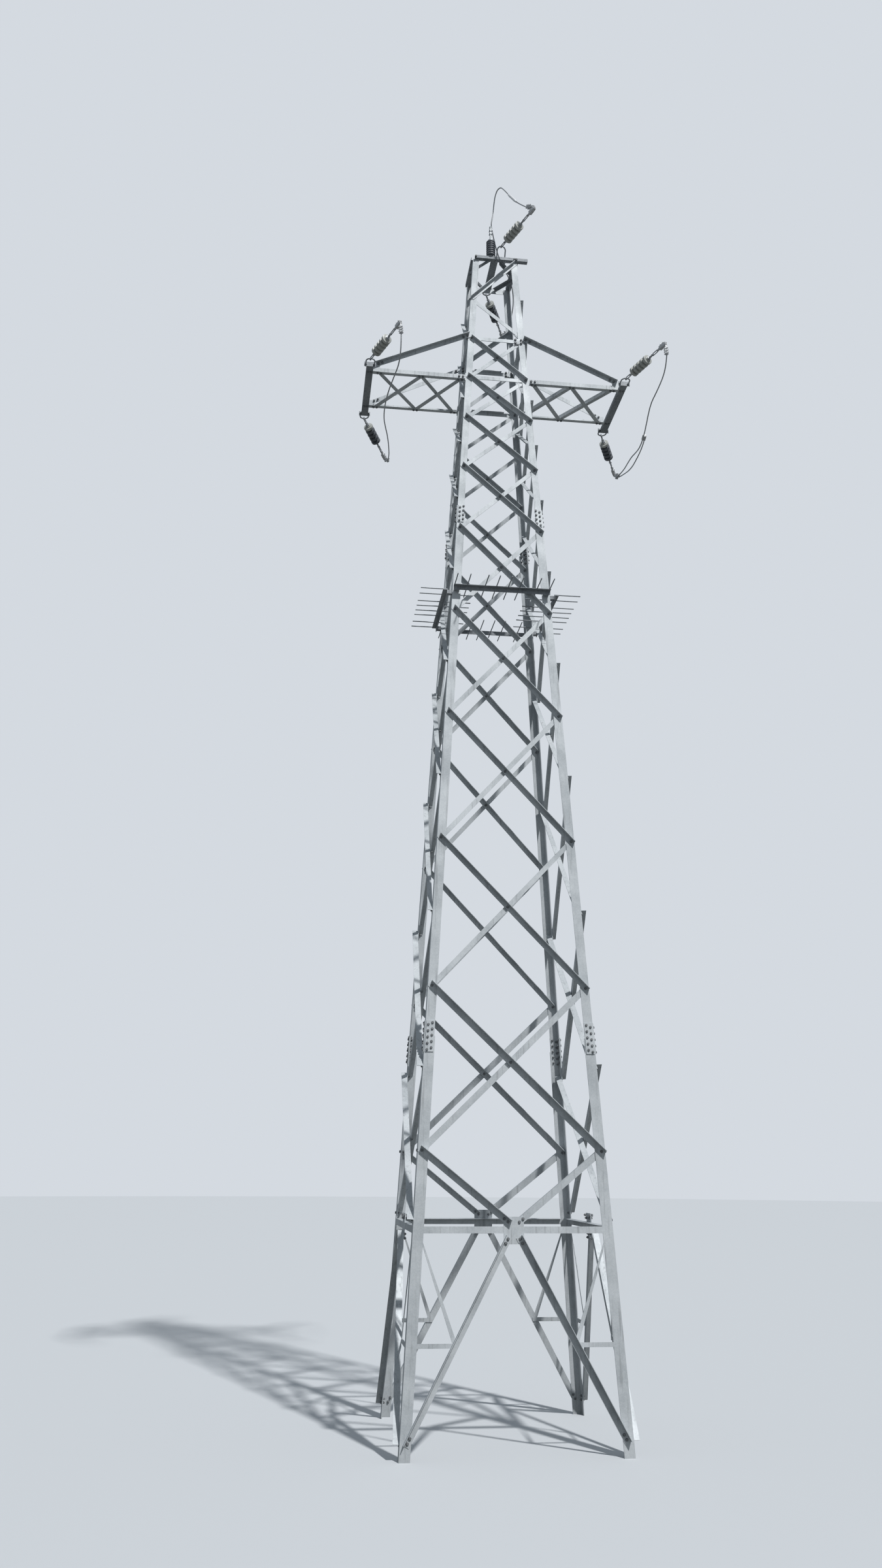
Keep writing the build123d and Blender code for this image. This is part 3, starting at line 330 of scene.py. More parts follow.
def finish_for(name):
    if name.endswith("_guard") or name in SHADE_PAINTED_PARTS:
        return shade_painted_zinc
    if "insulator" in name:
        # On the far strings the dark skin is painted shade.
        return pale_skin if name.startswith("near") else dark_skin
    if name in ("string_ubolts", "chain_links"):
        return forged
    if "jumper" in name or "clamp" in name:
        return cast_metal
    return zinc_old


for name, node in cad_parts.items():
    if not node.material_slots:
        node.data.materials.append(finish_for(name))
    for place in node.material_slots:
        place.material = finish_for(name)
print("finished CAD nodes:", len(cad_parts))

# %% [markdown]
# The tower is a square section that narrows evenly, so any place on it follows from a few values: half the
# width at the ground, how much that shrinks with height, and which of the four faces is meant. A place on a
# face comes as a matrix whose Z points out of the face, and a bolt can be put straight on it. The lattice's
# levels follow from the heights of its panels, which mostly grow towards the ground.

# %% Places on the tower
BASE_HALF = 1.050
TAPER = 0.0599
GAUGE = 0.037
LEG_T = 0.008
BAR_T = 0.005
HEAD_Z, ZIGZAG_Z, ARM_Z, BASE_BEAM_Z = 13.050, 12.470, 11.317, 1.899
TIE_Z = ARM_Z + 0.553
FRONT_PANELS = (0.563, 0.664, 0.801, 1.023, 1.213, 1.389, 1.514, 1.549)
SIDE_PANELS = (0.849, 0.614, 0.732, 0.912, 1.118, 1.301, 1.452, 1.531, 1.391)
SIDE_NODE_UP = 0.015
FACES = {"front": 0.0, "right": 90.0, "back": 180.0, "left": 270.0}


def levels_down(top, panels):
    return [top - down for down in accumulate(panels, initial=0.0)]


FRONT_LEVELS = [TIE_Z] + levels_down(ARM_Z, FRONT_PANELS)
SIDE_LEVELS = [ZIGZAG_Z] + levels_down(TIE_Z + SIDE_NODE_UP, SIDE_PANELS)


def half(z):
    return BASE_HALF - TAPER * z


def on_face(turn, x, z, out=0.0):
    slope = sqrt(1 + TAPER * TAPER)
    across = Vector((1, 0, 0))
    outwards = Vector((0, -1, TAPER)) / slope
    up = outwards.cross(across)
    place = Vector((x, -half(z), z)) + outwards * out
    columns = Matrix((across, up, outwards)).transposed().to_4x4()
    return Matrix.Rotation(radians(turn), 4, "Z") @ Matrix.Translation(place) @ columns


print("half width at the arms:", round(half(ARM_Z), 3), "lowest levels:",
      round(FRONT_LEVELS[-1], 3), round(SIDE_LEVELS[-1], 3))

# %% [markdown]
# Most small pieces are modelled once at the origin and then copied to their places, each with its own mesh.
# Copies that belong together are joined into one piece, so that the finished object stays easy to read.

# %% Helpers for modelling
def clear_selection():
    if bpy.context.object and bpy.context.object.mode != "OBJECT":
        bpy.ops.object.mode_set(mode="OBJECT")
    bpy.ops.object.select_all(action="DESELECT")


def work_on(piece):
    clear_selection()
    bpy.context.view_layer.objects.active = piece
    piece.select_set(True)


def pick_faces(piece, test):
    bpy.ops.object.mode_set(mode="OBJECT")
    for vertex in piece.data.vertices:
        vertex.select = False
    for edge in piece.data.edges:
        edge.select = False
    for face in piece.data.polygons:
        face.select = bool(test(face))
    bpy.ops.object.mode_set(mode="EDIT")
    bpy.ops.mesh.select_mode(type="FACE")


def pick_points(piece, test):
    bpy.ops.object.mode_set(mode="EDIT")
    bpy.ops.mesh.select_mode(type="VERT")
    bpy.ops.mesh.select_all(action="DESELECT")
    bpy.ops.object.mode_set(mode="OBJECT")
    for vertex in piece.data.vertices:
        vertex.select = bool(test(vertex.co))
    bpy.ops.object.mode_set(mode="EDIT")


def sized_block(size, centre):
    """A cube drawn to its size and moved to its place, left in edit mode for more work."""
    clear_selection()
    bpy.ops.mesh.primitive_cube_add(size=1, location=(0, 0, 0))
    piece = bpy.context.object
    bpy.ops.object.mode_set(mode="EDIT")
    bpy.ops.mesh.select_all(action="SELECT")
    bpy.ops.transform.resize(value=size, center_override=(0, 0, 0))
    bpy.ops.transform.translate(value=centre)
    return piece


def soften(piece, width, segments=2, angle=35):
    work_on(piece)
    bevel = piece.modifiers.new("edge", "BEVEL")
    bevel.width = width
    bevel.segments = segments
    bevel.limit_method = "ANGLE"
    bevel.angle_limit = radians(angle)
    bpy.ops.object.modifier_apply(modifier="edge")
    bpy.ops.object.shade_smooth_by_angle(angle=radians(angle))


def turned_piece(name, profile, sides=32, smooth=40):
    """A round piece drawn up from a disc: each step of the profile is a height and a radius."""
    clear_selection()
    z, r = profile[0]
    bpy.ops.mesh.primitive_circle_add(vertices=sides, radius=r, fill_type="NGON", location=(0, 0, z))
    piece = bpy.context.object
    piece.name = name
    bpy.ops.object.transform_apply(location=True)
    bpy.ops.object.mode_set(mode="EDIT")
    bpy.ops.mesh.select_all(action="SELECT")
    for z_next, r_next in profile[1:]:
        bpy.ops.mesh.extrude_region_move(TRANSFORM_OT_translate={"value": (0, 0, z_next - z)})
        k = r_next / r
        bpy.ops.transform.resize(value=(k, k, 1), center_override=(0, 0, z_next))
        z, r = z_next, r_next
    bpy.ops.mesh.select_all(action="SELECT")
    bpy.ops.mesh.normals_make_consistent(inside=False)
    bpy.ops.object.mode_set(mode="OBJECT")
    bpy.ops.object.shade_smooth_by_angle(angle=radians(smooth))
    return piece


def copy_at(template, place):
    twin = bpy.data.objects.new(template.name, template.data.copy())
    bpy.context.scene.collection.objects.link(twin)
    twin.data.transform(place)
    return twin


def joined(name, pieces):
    clear_selection()
    for piece in pieces:
        piece.select_set(True)
    bpy.context.view_layer.objects.active = pieces[0]
    if len(pieces) > 1:
        bpy.ops.object.join()
    whole = bpy.context.view_layer.objects.active
    whole.name = name
    whole.data.name = name
    return whole


def along_line(start, end):
    """A place at start whose Z runs to end and whose X stays level."""
    run = (end - start).normalized()
    level = Vector((0, 0, 1)).cross(run).normalized()
    return Matrix.Translation(start) @ Matrix((level, run.cross(level), run)).transposed().to_4x4()


def seat_on(name, point, ray):
    """The place where a ray meets one of the frame's pieces, with Z standing out of its surface."""
    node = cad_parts[name]
    back = node.matrix_world.inverted()
    hit, spot, normal, _ = node.ray_cast(back @ Vector(point), back.to_3x3() @ Vector(ray))
    if not hit:
        return None
    outwards = (node.matrix_world.to_3x3() @ normal).to_track_quat("Z", "Y").to_matrix().to_4x4()
    return Matrix.Translation(node.matrix_world @ spot) @ outwards


def finish_piece(piece, material):
    piece.data.materials.clear()
    piece.data.materials.append(material)
    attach(piece, "root")
    return piece


def drop(*pieces):
    for piece in pieces:
        bpy.data.objects.remove(piece)


print("modelling helpers ready")

# %% [markdown]
# A lattice bolt has a washer, a hexagon head with chamfered corners, and on the far side a nut with the end
# of the thread. The head starts as a six-sided cylinder whose top is inset and lifted, which leaves the
# chamfer.

# %% One bolt
GRIP = LEG_T + BAR_T
LATTICE_BOLT, PLATE_BOLT, SMALL_BOLT, SMALL_GRIP = 0.0150, 0.0135, 0.0085, 0.031
WASHER_WIDE, WASHER_THICK, HEX_WIDE, HEAD_TOP, NUT_HIGH = 0.95, 0.17, 0.87, 0.78, 0.8


def hexagon(name, radius, low, high):
    clear_selection()
    bpy.ops.mesh.primitive_cylinder_add(vertices=6, radius=radius, depth=high - low,
                                        location=(0, 0, (low + high) / 2))
    piece = bpy.context.object
    piece.name = name
    bpy.ops.object.transform_apply(location=True)
    pick_faces(piece, lambda face: face.normal.z > 0.9)
    bpy.ops.mesh.inset(thickness=radius * 0.16)
    bpy.ops.transform.translate(value=(0, 0, radius * 0.09))
    bpy.ops.object.mode_set(mode="OBJECT")
    return piece


def bolt(name, size, grip):
    """A bolt whose parts are shares of its size. The grip is the steel between the washer and the nut."""
    washer_r, hex_r, seat = size * WASHER_WIDE, size * HEX_WIDE, size * WASHER_THICK
    washer = turned_piece("washer", [(0.0, washer_r), (seat, washer_r)], 14)
    head = hexagon("head", hex_r, seat, size * HEAD_TOP)
    nut = hexagon("nut", hex_r, 0.0, size * NUT_HIGH)
    nut.data.transform(Matrix.Translation((0, 0, -grip)) @ Matrix.Rotation(pi, 4, "X"))
    thread = turned_piece("thread", [(-grip - size * 1.35, size * 0.42), (-grip - size * 1.28, size * 0.5),
                                     (-grip - size * 0.5, size * 0.5)], 10)
    return joined(name, [washer, head, nut, thread])


lattice_bolt = bolt("lattice_bolt", LATTICE_BOLT, GRIP)
crossing_bolt = bolt("crossing_bolt", LATTICE_BOLT, 2 * BAR_T + LEG_T)
plate_bolt = bolt("plate_bolt", PLATE_BOLT, 2 * LEG_T)
small_bolt = bolt("small_bolt", SMALL_BOLT, SMALL_GRIP)
print("triangles in a bolt:", sum(len(f.vertices) - 2 for f in lattice_bolt.data.polygons))

# %% [markdown]
# Each crossed pair is bolted to the legs at its four ends, and its bars to each other where they cross. The
# outer bar's bolts show their heads on the bar, and the inner bar's heads lie on the leg's outer face.

# %% Bolts of the bracing
def crossing_bolts(turn, levels):
    found = []
    for z_up, z_down in zip(levels, levels[1:]):
        a, b = half(z_up) - GAUGE, half(z_down) - GAUGE
        for x, z, out in ((-a, z_up, BAR_T), (b, z_down, BAR_T), (-b, z_down, 0.0), (a, z_up, 0.0)):
            found.append(copy_at(lattice_bolt, on_face(turn, x, z, out)))
        middle = z_up + (z_down - z_up) * a / (a + b)
        found.append(copy_at(crossing_bolt, on_face(turn, 0, middle, BAR_T)))
    return found


for name, turn in FACES.items():
    levels = FRONT_LEVELS if name in ("front", "back") else SIDE_LEVELS
    whole = joined(name + "_bracing_bolts", crossing_bolts(turn, levels))
    finish_piece(whole, bolt_steel)
    print(whole.name, len(whole.data.polygons), "faces")

# %% [markdown]
# The legs are spliced twice. A splice plate takes two staggered columns of bolts, which run on over the joint
# and lean with the leg.

# %% Bolts of the splices
SPLICES = (("lower", 3.66, 0.30, 5), ("upper", 9.47, 0.22, 4))
COLUMNS = (0.026, 0.066)
ROW_START, ROW_SHIFT = 0.35, 0.3


def splice_bolts(turn, z_mid, length, rows):
    found = []
    for side in (-1, 1):
        for i in range(rows):
            for k, column in enumerate(COLUMNS):
                z = z_mid - length / 2 + length * (i + ROW_START + ROW_SHIFT * k) / rows
                found.append(copy_at(plate_bolt, on_face(turn, side * (half(z) - column), z, LEG_T)))
    return found


for label, z_mid, length, rows in SPLICES:
    bolts = []
    for turn in FACES.values():
        bolts += splice_bolts(turn, z_mid, length, rows)
    whole = finish_piece(joined(label + "_splice_bolts", bolts), bolt_steel)
    print(whole.name, len(bolts))

# %% [markdown]
# At the foot, the two bars of an inverted V meet on a gusset at the middle of the base beam, and on the front
# and back the half-diagonals meet there too. Two bolts hold a bar at the gusset, two more hold each foot of
# the V, and one the upper end of a half-diagonal. All four faces get the same set of bolts, so those of the
# half-diagonals hold no bar on the two side faces.

# %% Bolts of the base
GUSSET_SPOT, FOOT_Z = 0.060, 0.150
V_TOP, V_FOOT = (GUSSET_SPOT, BASE_BEAM_Z - 0.085), (half(FOOT_Z) - GAUGE - 0.030, FOOT_Z)
V_RISE = (0.47, 0.88)
HALF_LOW, HALF_TOP = (GUSSET_SPOT, BASE_BEAM_Z + 0.075), (half(FRONT_LEVELS[-1]) - GAUGE, FRONT_LEVELS[-1])
GUSSET_STEPS, FOOT_STEPS = (-0.008, 0.036), (0.0, 0.045)


def base_bolts(turn):
    found = []
    for side in (-1, 1):
        half_out = BAR_T if side < 0 else 0.0
        for start, end, out in ((V_TOP, V_FOOT, BAR_T), (HALF_LOW, HALF_TOP, half_out)):
            run = hypot(end[0] - start[0], end[1] - start[1])
            for step in GUSSET_STEPS:
                x = start[0] + (end[0] - start[0]) * step / run
                z = start[1] + (end[1] - start[1]) * step / run
                found.append(copy_at(lattice_bolt, on_face(turn, side * x, z, out)))
        for step in FOOT_STEPS:
            x, z = V_FOOT[0] - step * V_RISE[0], V_FOOT[1] + step * V_RISE[1]
            found.append(copy_at(lattice_bolt, on_face(turn, side * x, z, BAR_T)))
        found.append(copy_at(lattice_bolt, on_face(turn, side * HALF_TOP[0], HALF_TOP[1], half_out)))
    return found


bolts = []
for turn in FACES.values():
    bolts += base_bolts(turn)
whole = finish_piece(joined("base_bolts", bolts), bolt_steel)
print(whole.name, len(bolts))

# %% [markdown]
# The arms' chords are bolted to the legs, the lacing to the chords and the ties to their lugs, and the tip
# channels and the head's beams have bolts too. These bolts are seated by a ray that is sent at the frame, so
# each one stands square on the surface that it meets. A ray that meets nothing leaves its bolt out.

# %% Bolts of the arms and the head
TIE_LOW, TIE_HIGH = Vector((1.430, 0, 11.372)), Vector((0.319, 0, 11.906))
TIE_SHARES = (0.03, 0.07, 0.93, 0.975)
CHORD_SPOTS, CHORD_Y = (0.405, 0.450), 0.347
LACE_SPOTS, LACE_STEP = (0.436, 0.895, 1.385), 0.020
TIP_SPOTS, TIP_Y = (1.482, 1.518), 0.352
BELOW_ARM = 11.0
BEAM_SPOTS, BEAM_STEP, BEAM_Z = (-0.250, 0.250), 0.012, 13.069


def arm_bolts(side, label):
    rays = []
    for front in (-1, 1):
        sideways = (0, -front, 0)
        for x in CHORD_SPOTS:
            rays.append((label + "_arm", (side * x, front, ARM_Z), sideways))
        for share in TIE_SHARES:
            spot = TIE_LOW.lerp(TIE_HIGH, share)
            rays.append((label + "_ties", (side * spot.x, front, spot.z), sideways))
        for x in LACE_SPOTS:
            for step in (-LACE_STEP, LACE_STEP):
                rays.append((label + "_arm", (side * (x + step), front * CHORD_Y, BELOW_ARM), (0, 0, 1)))
        for x in TIP_SPOTS:
            rays.append((label + "_tip_channel", (side * x, front * TIP_Y, BELOW_ARM), (0, 0, 1)))
    return rays


def head_bolts():
    rays = []
    for x in BEAM_SPOTS:
        for node, way in (("front_top_beam", 1), ("back_top_beam", -1)):
            for step in (-BEAM_STEP, BEAM_STEP):
                rays.append((node, (x + step, -way, BEAM_Z), (0, way, 0)))
    return rays


rays = arm_bolts(-1, "left") + arm_bolts(1, "right") + head_bolts()
seats = [seat_on(*ray) for ray in rays]
found = [copy_at(lattice_bolt, place) for place in seats if place]
finish_piece(joined("arm_bolts", found), bolt_steel)
print("arm bolts:", len(found), "of", len(rays))

# %% [markdown]
# Where the bars meet the right-hand legs above the arms, front and back, a pale gusset lies on the leg's face
# with four bolts.

# %% Gussets
GUSSET_WIDE, GUSSET_HIGH = 0.100, 0.080
GUSSET_X = 0.262
GUSSET_HOLES = ((-0.034, -0.022), (-0.034, 0.022), (0.034, -0.022), (0.034, 0.022))


def gusset(turn, x, z):
    plate = sized_block((GUSSET_WIDE, GUSSET_HIGH, BAR_T), (0, 0, BAR_T / 2))
    bpy.ops.object.mode_set(mode="OBJECT")
    soften(plate, 0.001)
    plate.data.transform(on_face(turn, x, z))
    heads = []
    for dx, dz in GUSSET_HOLES:
        heads.append(copy_at(lattice_bolt, on_face(turn, x + dx, z + dz, BAR_T)))
    return plate, heads


plates, heads = [], []
for turn, x in ((FACES["front"], GUSSET_X), (FACES["back"], -GUSSET_X)):
    plate, around = gusset(turn, x, TIE_Z)
    plates.append(plate)
    heads += around
finish_piece(joined("gussets", plates), zinc_old)
finish_piece(joined("gusset_bolts", heads), bolt_steel)
print("gussets:", len(plates))

# %% [markdown]
# A tension string is one line: the U-bolt's bend, a chain link, the insulator's eye, five sheds, the second
# eye, another link and the strain clamp. All its pieces are placed by distances along that line, so one
# matrix a string is enough. Its Z runs along the string, away from the tower, and its Y stays as upright as
# it can.

# %% The six strings
TIP_X = 1.500
NEAR_Y, FAR_Y = -0.578, 0.663
NEAR_HEAD, FAR_HEAD = Vector((0.070, -half(HEAD_Z) - 0.080, 13.200)), Vector((0.0, 0.425, HEAD_Z + 0.028))
NEAR_STARTS = [Vector((-TIP_X, NEAR_Y, ARM_Z)), Vector((TIP_X, NEAR_Y, ARM_Z)), NEAR_HEAD]
FAR_STARTS = [Vector((-TIP_X, FAR_Y, ARM_Z)), Vector((TIP_X, FAR_Y, ARM_Z)), FAR_HEAD]
NEAR_TURN, NEAR_RISE, FAR_TURN, FAR_RISE = 24.0, 4.0, 28.0, -16.0


def string_frame(start, turn, rise, far):
    a, e = radians(turn), radians(rise)
    return along_line(start, start + Vector((sin(a) * cos(e), (1 if far else -1) * cos(a) * cos(e), sin(e))))


STRINGS = {"near": [string_frame(start, NEAR_TURN, NEAR_RISE, False) for start in NEAR_STARTS],
           "far": [string_frame(start, FAR_TURN, FAR_RISE, True) for start in FAR_STARTS]}
LINK_LENGTH, LINK_HALF, EYE_SHIFT = 0.062, 0.015, 0.0009
SHED_COUNT, PITCH = 5, 0.058
FIRST_LINK = -0.0028
FIRST_EYE = FIRST_LINK + LINK_LENGTH + LINK_HALF + EYE_SHIFT
SHEDS_START = FIRST_EYE + 0.040
SHEDS_END = SHEDS_START + SHED_COUNT * PITCH
SECOND_EYE = SHEDS_END + 0.069
SECOND_LINK = SECOND_EYE + EYE_SHIFT + LINK_HALF
CLAMP_EYE = SECOND_LINK + LINK_LENGTH + LINK_HALF + EYE_SHIFT
print("string from bend to clamp eye:", round(CLAMP_EYE, 3))

# %% [markdown]
# The insulator is turned like a vase: a disc is drawn up step by step and scaled at each height. Its five
# sheds are thick discs with a crisp rim and a narrow notch between them. Its steel ends are turned the same
# way, and the eyes are rings, made from a torus that is stretched a little along its axis.

# %% Insulator
SHED_R, TRUNK_R = 0.057, 0.031
EYE_R, EYE_WIRE, EYE_STRETCH = 0.0130, 0.0042, 1.4
CRISP = ((0.20, 0.0), (0.22, 0.80), (0.25, 0.97), (0.31, 1.0),
         (0.69, 1.0), (0.75, 0.97), (0.78, 0.80), (0.80, 0.0))
ROUND = ((0.10, 0.0), (0.18, 0.45), (0.28, 0.80), (0.40, 0.97), (0.50, 1.0),
         (0.60, 0.97), (0.72, 0.80), (0.82, 0.45), (0.90, 0.0))


def shed_profile(count, start, pitch, rim, trunk, shape):
    steps_up = [(start, trunk * 0.7), (start + 0.004, trunk)]
    for i in range(count):
        for up, share in shape:
            steps_up.append((start + pitch * (i + up), trunk + share * (rim - trunk)))
    steps_up += [(start + pitch * count - 0.004, trunk), (start + pitch * count, trunk * 0.7)]
    return steps_up


def eye_ring(along):
    clear_selection()
    bpy.ops.mesh.primitive_torus_add(major_radius=EYE_R, minor_radius=EYE_WIRE, major_segments=28,
                                     minor_segments=10, rotation=(pi / 2, 0, 0))
    ring = bpy.context.object
    bpy.ops.object.transform_apply(rotation=True)
    bpy.ops.object.mode_set(mode="EDIT")
    bpy.ops.mesh.select_all(action="SELECT")
    bpy.ops.transform.resize(value=(1, EYE_STRETCH, 1), center_override=(0, 0, 0))
    bpy.ops.transform.translate(value=(0, 0, along))
    bpy.ops.object.mode_set(mode="OBJECT")
    bpy.ops.object.shade_smooth()
    return ring


def steel_ends():
    first = [(FIRST_EYE + 0.013, 0.007), (FIRST_EYE + 0.018, 0.011), (SHEDS_START - 0.016, 0.012),
             (SHEDS_START - 0.014, 0.021), (SHEDS_START - 0.004, 0.023), (SHEDS_START + 0.004, 0.023)]
    second = [(SHEDS_END - 0.004, 0.023), (SHEDS_END + 0.012, 0.023), (SHEDS_END + 0.016, 0.012),
              (SECOND_EYE - 0.018, 0.011), (SECOND_EYE - 0.013, 0.007)]
    return [turned_piece("first_end", first, 24), turned_piece("second_end", second, 24),
            eye_ring(FIRST_EYE), eye_ring(SECOND_EYE)]


def sheds(name, count, start):
    return turned_piece(name, shed_profile(count, start, PITCH, SHED_R, TRUNK_R, CRISP), 40, 50)


first_shed = sheds("first_shed", 1, SHEDS_START)
other_sheds = sheds("other_sheds", SHED_COUNT - 1, SHEDS_START + PITCH)
end_fittings = joined("end_fittings", steel_ends())
for side, frames in STRINGS.items():
    # The far strings' dark skin is painted shade, and their pale first shed is a painted sunlit highlight.
    other_skin = pale_skin if side == "near" else dark_skin
    for template, skin in ((first_shed, pale_skin), (other_sheds, other_skin)):
        bodies = joined(side + "_" + template.name, [copy_at(template, place) for place in frames])
        finish_piece(bodies, skin)
        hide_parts(side + "_insulators")
    metal = joined(side + "_insulator_ends", [copy_at(end_fittings, place) for place in frames])
    finish_piece(metal, forged)
    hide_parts(side + "_insulators")
    print(bodies.name, len(bodies.data.polygons), metal.name, len(metal.data.polygons))
drop(first_shed, other_sheds, end_fittings)

# %% [markdown]
# A chain link is a torus pulled apart: the half on one side moves along the string and the tube between
# becomes the link's straight sides.

# %% Chain links
LINK_WIRE = 0.006


def chain_link():
    clear_selection()
    bpy.ops.mesh.primitive_torus_add(major_radius=LINK_HALF, minor_radius=LINK_WIRE, major_segments=32,
                                     minor_segments=12, rotation=(0, pi / 2, 0))
    link = bpy.context.object
    bpy.ops.object.transform_apply(rotation=True)
    pick_points(link, lambda co: co.z > 1e-6)
    bpy.ops.transform.translate(value=(0, 0, LINK_LENGTH))
    bpy.ops.object.mode_set(mode="OBJECT")
    bpy.ops.object.shade_smooth()
    return link


link = chain_link()
links = []
for frames in STRINGS.values():
    for place in frames:
        for along in (FIRST_LINK, SECOND_LINK):
            links.append(copy_at(link, place @ Matrix.Translation((0, 0, along))))
drop(link)
all_links = finish_piece(joined("forged_links", links), forged)
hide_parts("chain_links")
print("links:", len(links))

# %% [markdown]
# A U-bolt is half a torus whose two open ends are drawn out into straight legs. Nuts and washers hold it on
# both sides of the end plate.

# %% U-bolts
UBOLT_HALF, UBOLT_R, REACH = 0.050, 0.008, 0.105
END_PLATE_T, TAIL = 0.008, 0.034
ROD_WASHER_R, ROD_WASHER_T, ROD_NUT_R, ROD_NUT_TOP = 0.016, 0.003, 0.0139, 0.016


def bent_rod(length):
    clear_selection()
    bpy.ops.mesh.primitive_torus_add(major_radius=UBOLT_HALF, minor_radius=UBOLT_R, major_segments=40,
                                     minor_segments=14)
    rod = bpy.context.object
    bpy.ops.object.mode_set(mode="EDIT")
    bpy.ops.mesh.select_all(action="SELECT")
    bpy.ops.mesh.bisect(plane_co=(0, 0, 0), plane_no=(0, 1, 0), clear_outer=True)
    bpy.ops.mesh.select_all(action="DESELECT")
    bpy.ops.mesh.select_mode(type="EDGE")
    bpy.ops.mesh.select_non_manifold()
    bpy.ops.mesh.extrude_region_move(TRANSFORM_OT_translate={"value": (0, length, 0)})
    bpy.ops.mesh.edge_face_add()
    bpy.ops.mesh.select_all(action="SELECT")
    bpy.ops.mesh.normals_make_consistent(inside=False)
    bpy.ops.object.mode_set(mode="OBJECT")
    bpy.ops.object.shade_smooth_by_angle(angle=radians(40))
    return rod


def nutted(rod, plate):
    """Nuts and washers on both faces of the plate, which lies at that distance from the bend."""
    pieces = [rod]
    for x in (-UBOLT_HALF, UBOLT_HALF):
        for y, way in ((plate, 1), (plate + END_PLATE_T, -1)):
            seat = Matrix.Translation((x, y, 0)) @ Matrix.Rotation(way * pi / 2, 4, "X")
            pieces.append(copy_at(washer_part, seat))
            pieces.append(copy_at(nut_part, seat))
    return joined("u_bolt", pieces)


washer_part = turned_piece("washer_part", [(0.0, ROD_WASHER_R), (ROD_WASHER_T, ROD_WASHER_R)], 18)
nut_part = hexagon("nut_part", ROD_NUT_R, ROD_WASHER_T, ROD_NUT_TOP)
level_ubolt = nutted(bent_rod(REACH + END_PLATE_T + TAIL - UBOLT_HALF), REACH - UBOLT_HALF)
print("U-bolt faces:", len(level_ubolt.data.polygons))

# %% Place the U-bolts
HEAD_LEAN, HEAD_TAIL, HEAD_SEAT = 0.090, 0.022, 0.007
bends = []
for start in NEAR_STARTS[:2] + FAR_STARTS:
    stand = Matrix.Translation(start) @ Matrix.Rotation(pi if start.y > 0 else 0.0, 4, "Z")
    bends.append(copy_at(level_ubolt, stand @ Matrix.Translation((0, UBOLT_HALF, 0))))
lean = atan2(HEAD_LEAN, NEAR_HEAD.z - HEAD_Z)
leg_run = hypot(HEAD_LEAN, NEAR_HEAD.z - HEAD_Z)
upright = nutted(bent_rod(leg_run + HEAD_TAIL - UBOLT_HALF), leg_run - UBOLT_HALF - HEAD_SEAT)
stand = Matrix.Translation(NEAR_HEAD) @ Matrix.Rotation(lean - pi / 2, 4, "X")
bends.append(copy_at(upright, stand @ Matrix.Translation((0, UBOLT_HALF, 0))))
drop(level_ubolt, upright)
all_bends = finish_piece(joined("u_bolts", bends), forged)
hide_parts("string_ubolts")
print("U-bolts:", len(bends))

# %% [markdown]
# The strain clamp is a cast boat: a block drawn out towards its outer end, with a lug and an eye that goes
# into the link, and a keeper plate on top under four nuts.

# %% Strain clamp
CLAMP_START = CLAMP_EYE + 0.013
CLAMP_BLOCK, CLAMP_STEPS = (0.038, 0.046, 0.030), ((0.030, 0.97), (0.030, 0.90), (0.018, 0.82))
KEEPER_SIZE, KEEPER_Y = (0.030, 0.007, 0.072), 0.0255
NUT_SPOTS = (CLAMP_START + 0.050, CLAMP_START + 0.092)
NUT_X, NUT_Y, NUT_R, NUT_TOP = 0.011, 0.029, 0.0085, 0.008


def clamp_body():
    body = sized_block(CLAMP_BLOCK, (0, 0, CLAMP_START + 0.037))
    for step, k in CLAMP_STEPS:
        pick_faces(body, lambda face: face.normal.z > 0.9)
        bpy.ops.mesh.extrude_region_move(TRANSFORM_OT_translate={"value": (0, 0, step)})
        bpy.ops.transform.resize(value=(k, k, 1), center_override=(0, -0.004, 0))
    pick_faces(body, lambda face: face.normal.z < -0.9)
    bpy.ops.mesh.inset(thickness=0.007)
    bpy.ops.mesh.extrude_region_move(TRANSFORM_OT_translate={"value": (0, 0, -0.022)})
    bpy.ops.transform.resize(value=(1, 0.42, 1), center_override=(0, 0, 0))
    pick_faces(body, lambda face: face.normal.z > 0.9)
    bpy.ops.mesh.inset(thickness=0.006)
    bpy.ops.mesh.extrude_region_move(TRANSFORM_OT_translate={"value": (0, 0, -0.012)})
    bpy.ops.object.mode_set(mode="OBJECT")
    soften(body, 0.003)
    return body


def keeper():
    plate = sized_block(KEEPER_SIZE, (0, KEEPER_Y, CLAMP_START + 0.072))
    pick_faces(plate, lambda face: abs(face.normal.z) > 0.9)
    bpy.ops.mesh.inset(thickness=0.002)
    bpy.ops.transform.translate(value=(0, 0.002, 0))
    bpy.ops.object.mode_set(mode="OBJECT")
    soften(plate, 0.0015)
    return plate


small_nut = hexagon("small_nut", NUT_R, 0.0, NUT_TOP)
parts = [clamp_body(), keeper(), eye_ring(CLAMP_EYE)]
for along in NUT_SPOTS:
    for x in (-NUT_X, NUT_X):
        seat = Matrix.Translation((x, NUT_Y, along)) @ Matrix.Rotation(-pi / 2, 4, "X")
        parts.append(copy_at(small_nut, seat))
clamp = joined("clamp", parts)
clamps = [copy_at(clamp, place) for frames in STRINGS.values() for place in frames]
drop(clamp, small_nut)
all_clamps = finish_piece(joined("cast_clamps", clamps), cast_metal)
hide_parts("strain_clamps")
print("clamps:", len(clamps), "faces", len(all_clamps.data.polygons))

# %% [markdown]
# The jumpers are lengths of the line's own bare wire, which carry the current round the tower, and half of
# the right one is doubled. Stiff wire hangs in broad uneven curves. Each is a NURBS curve that follows its
# listed control points. The order is set after the points are added, and the curve is told to reach its
# two ends.

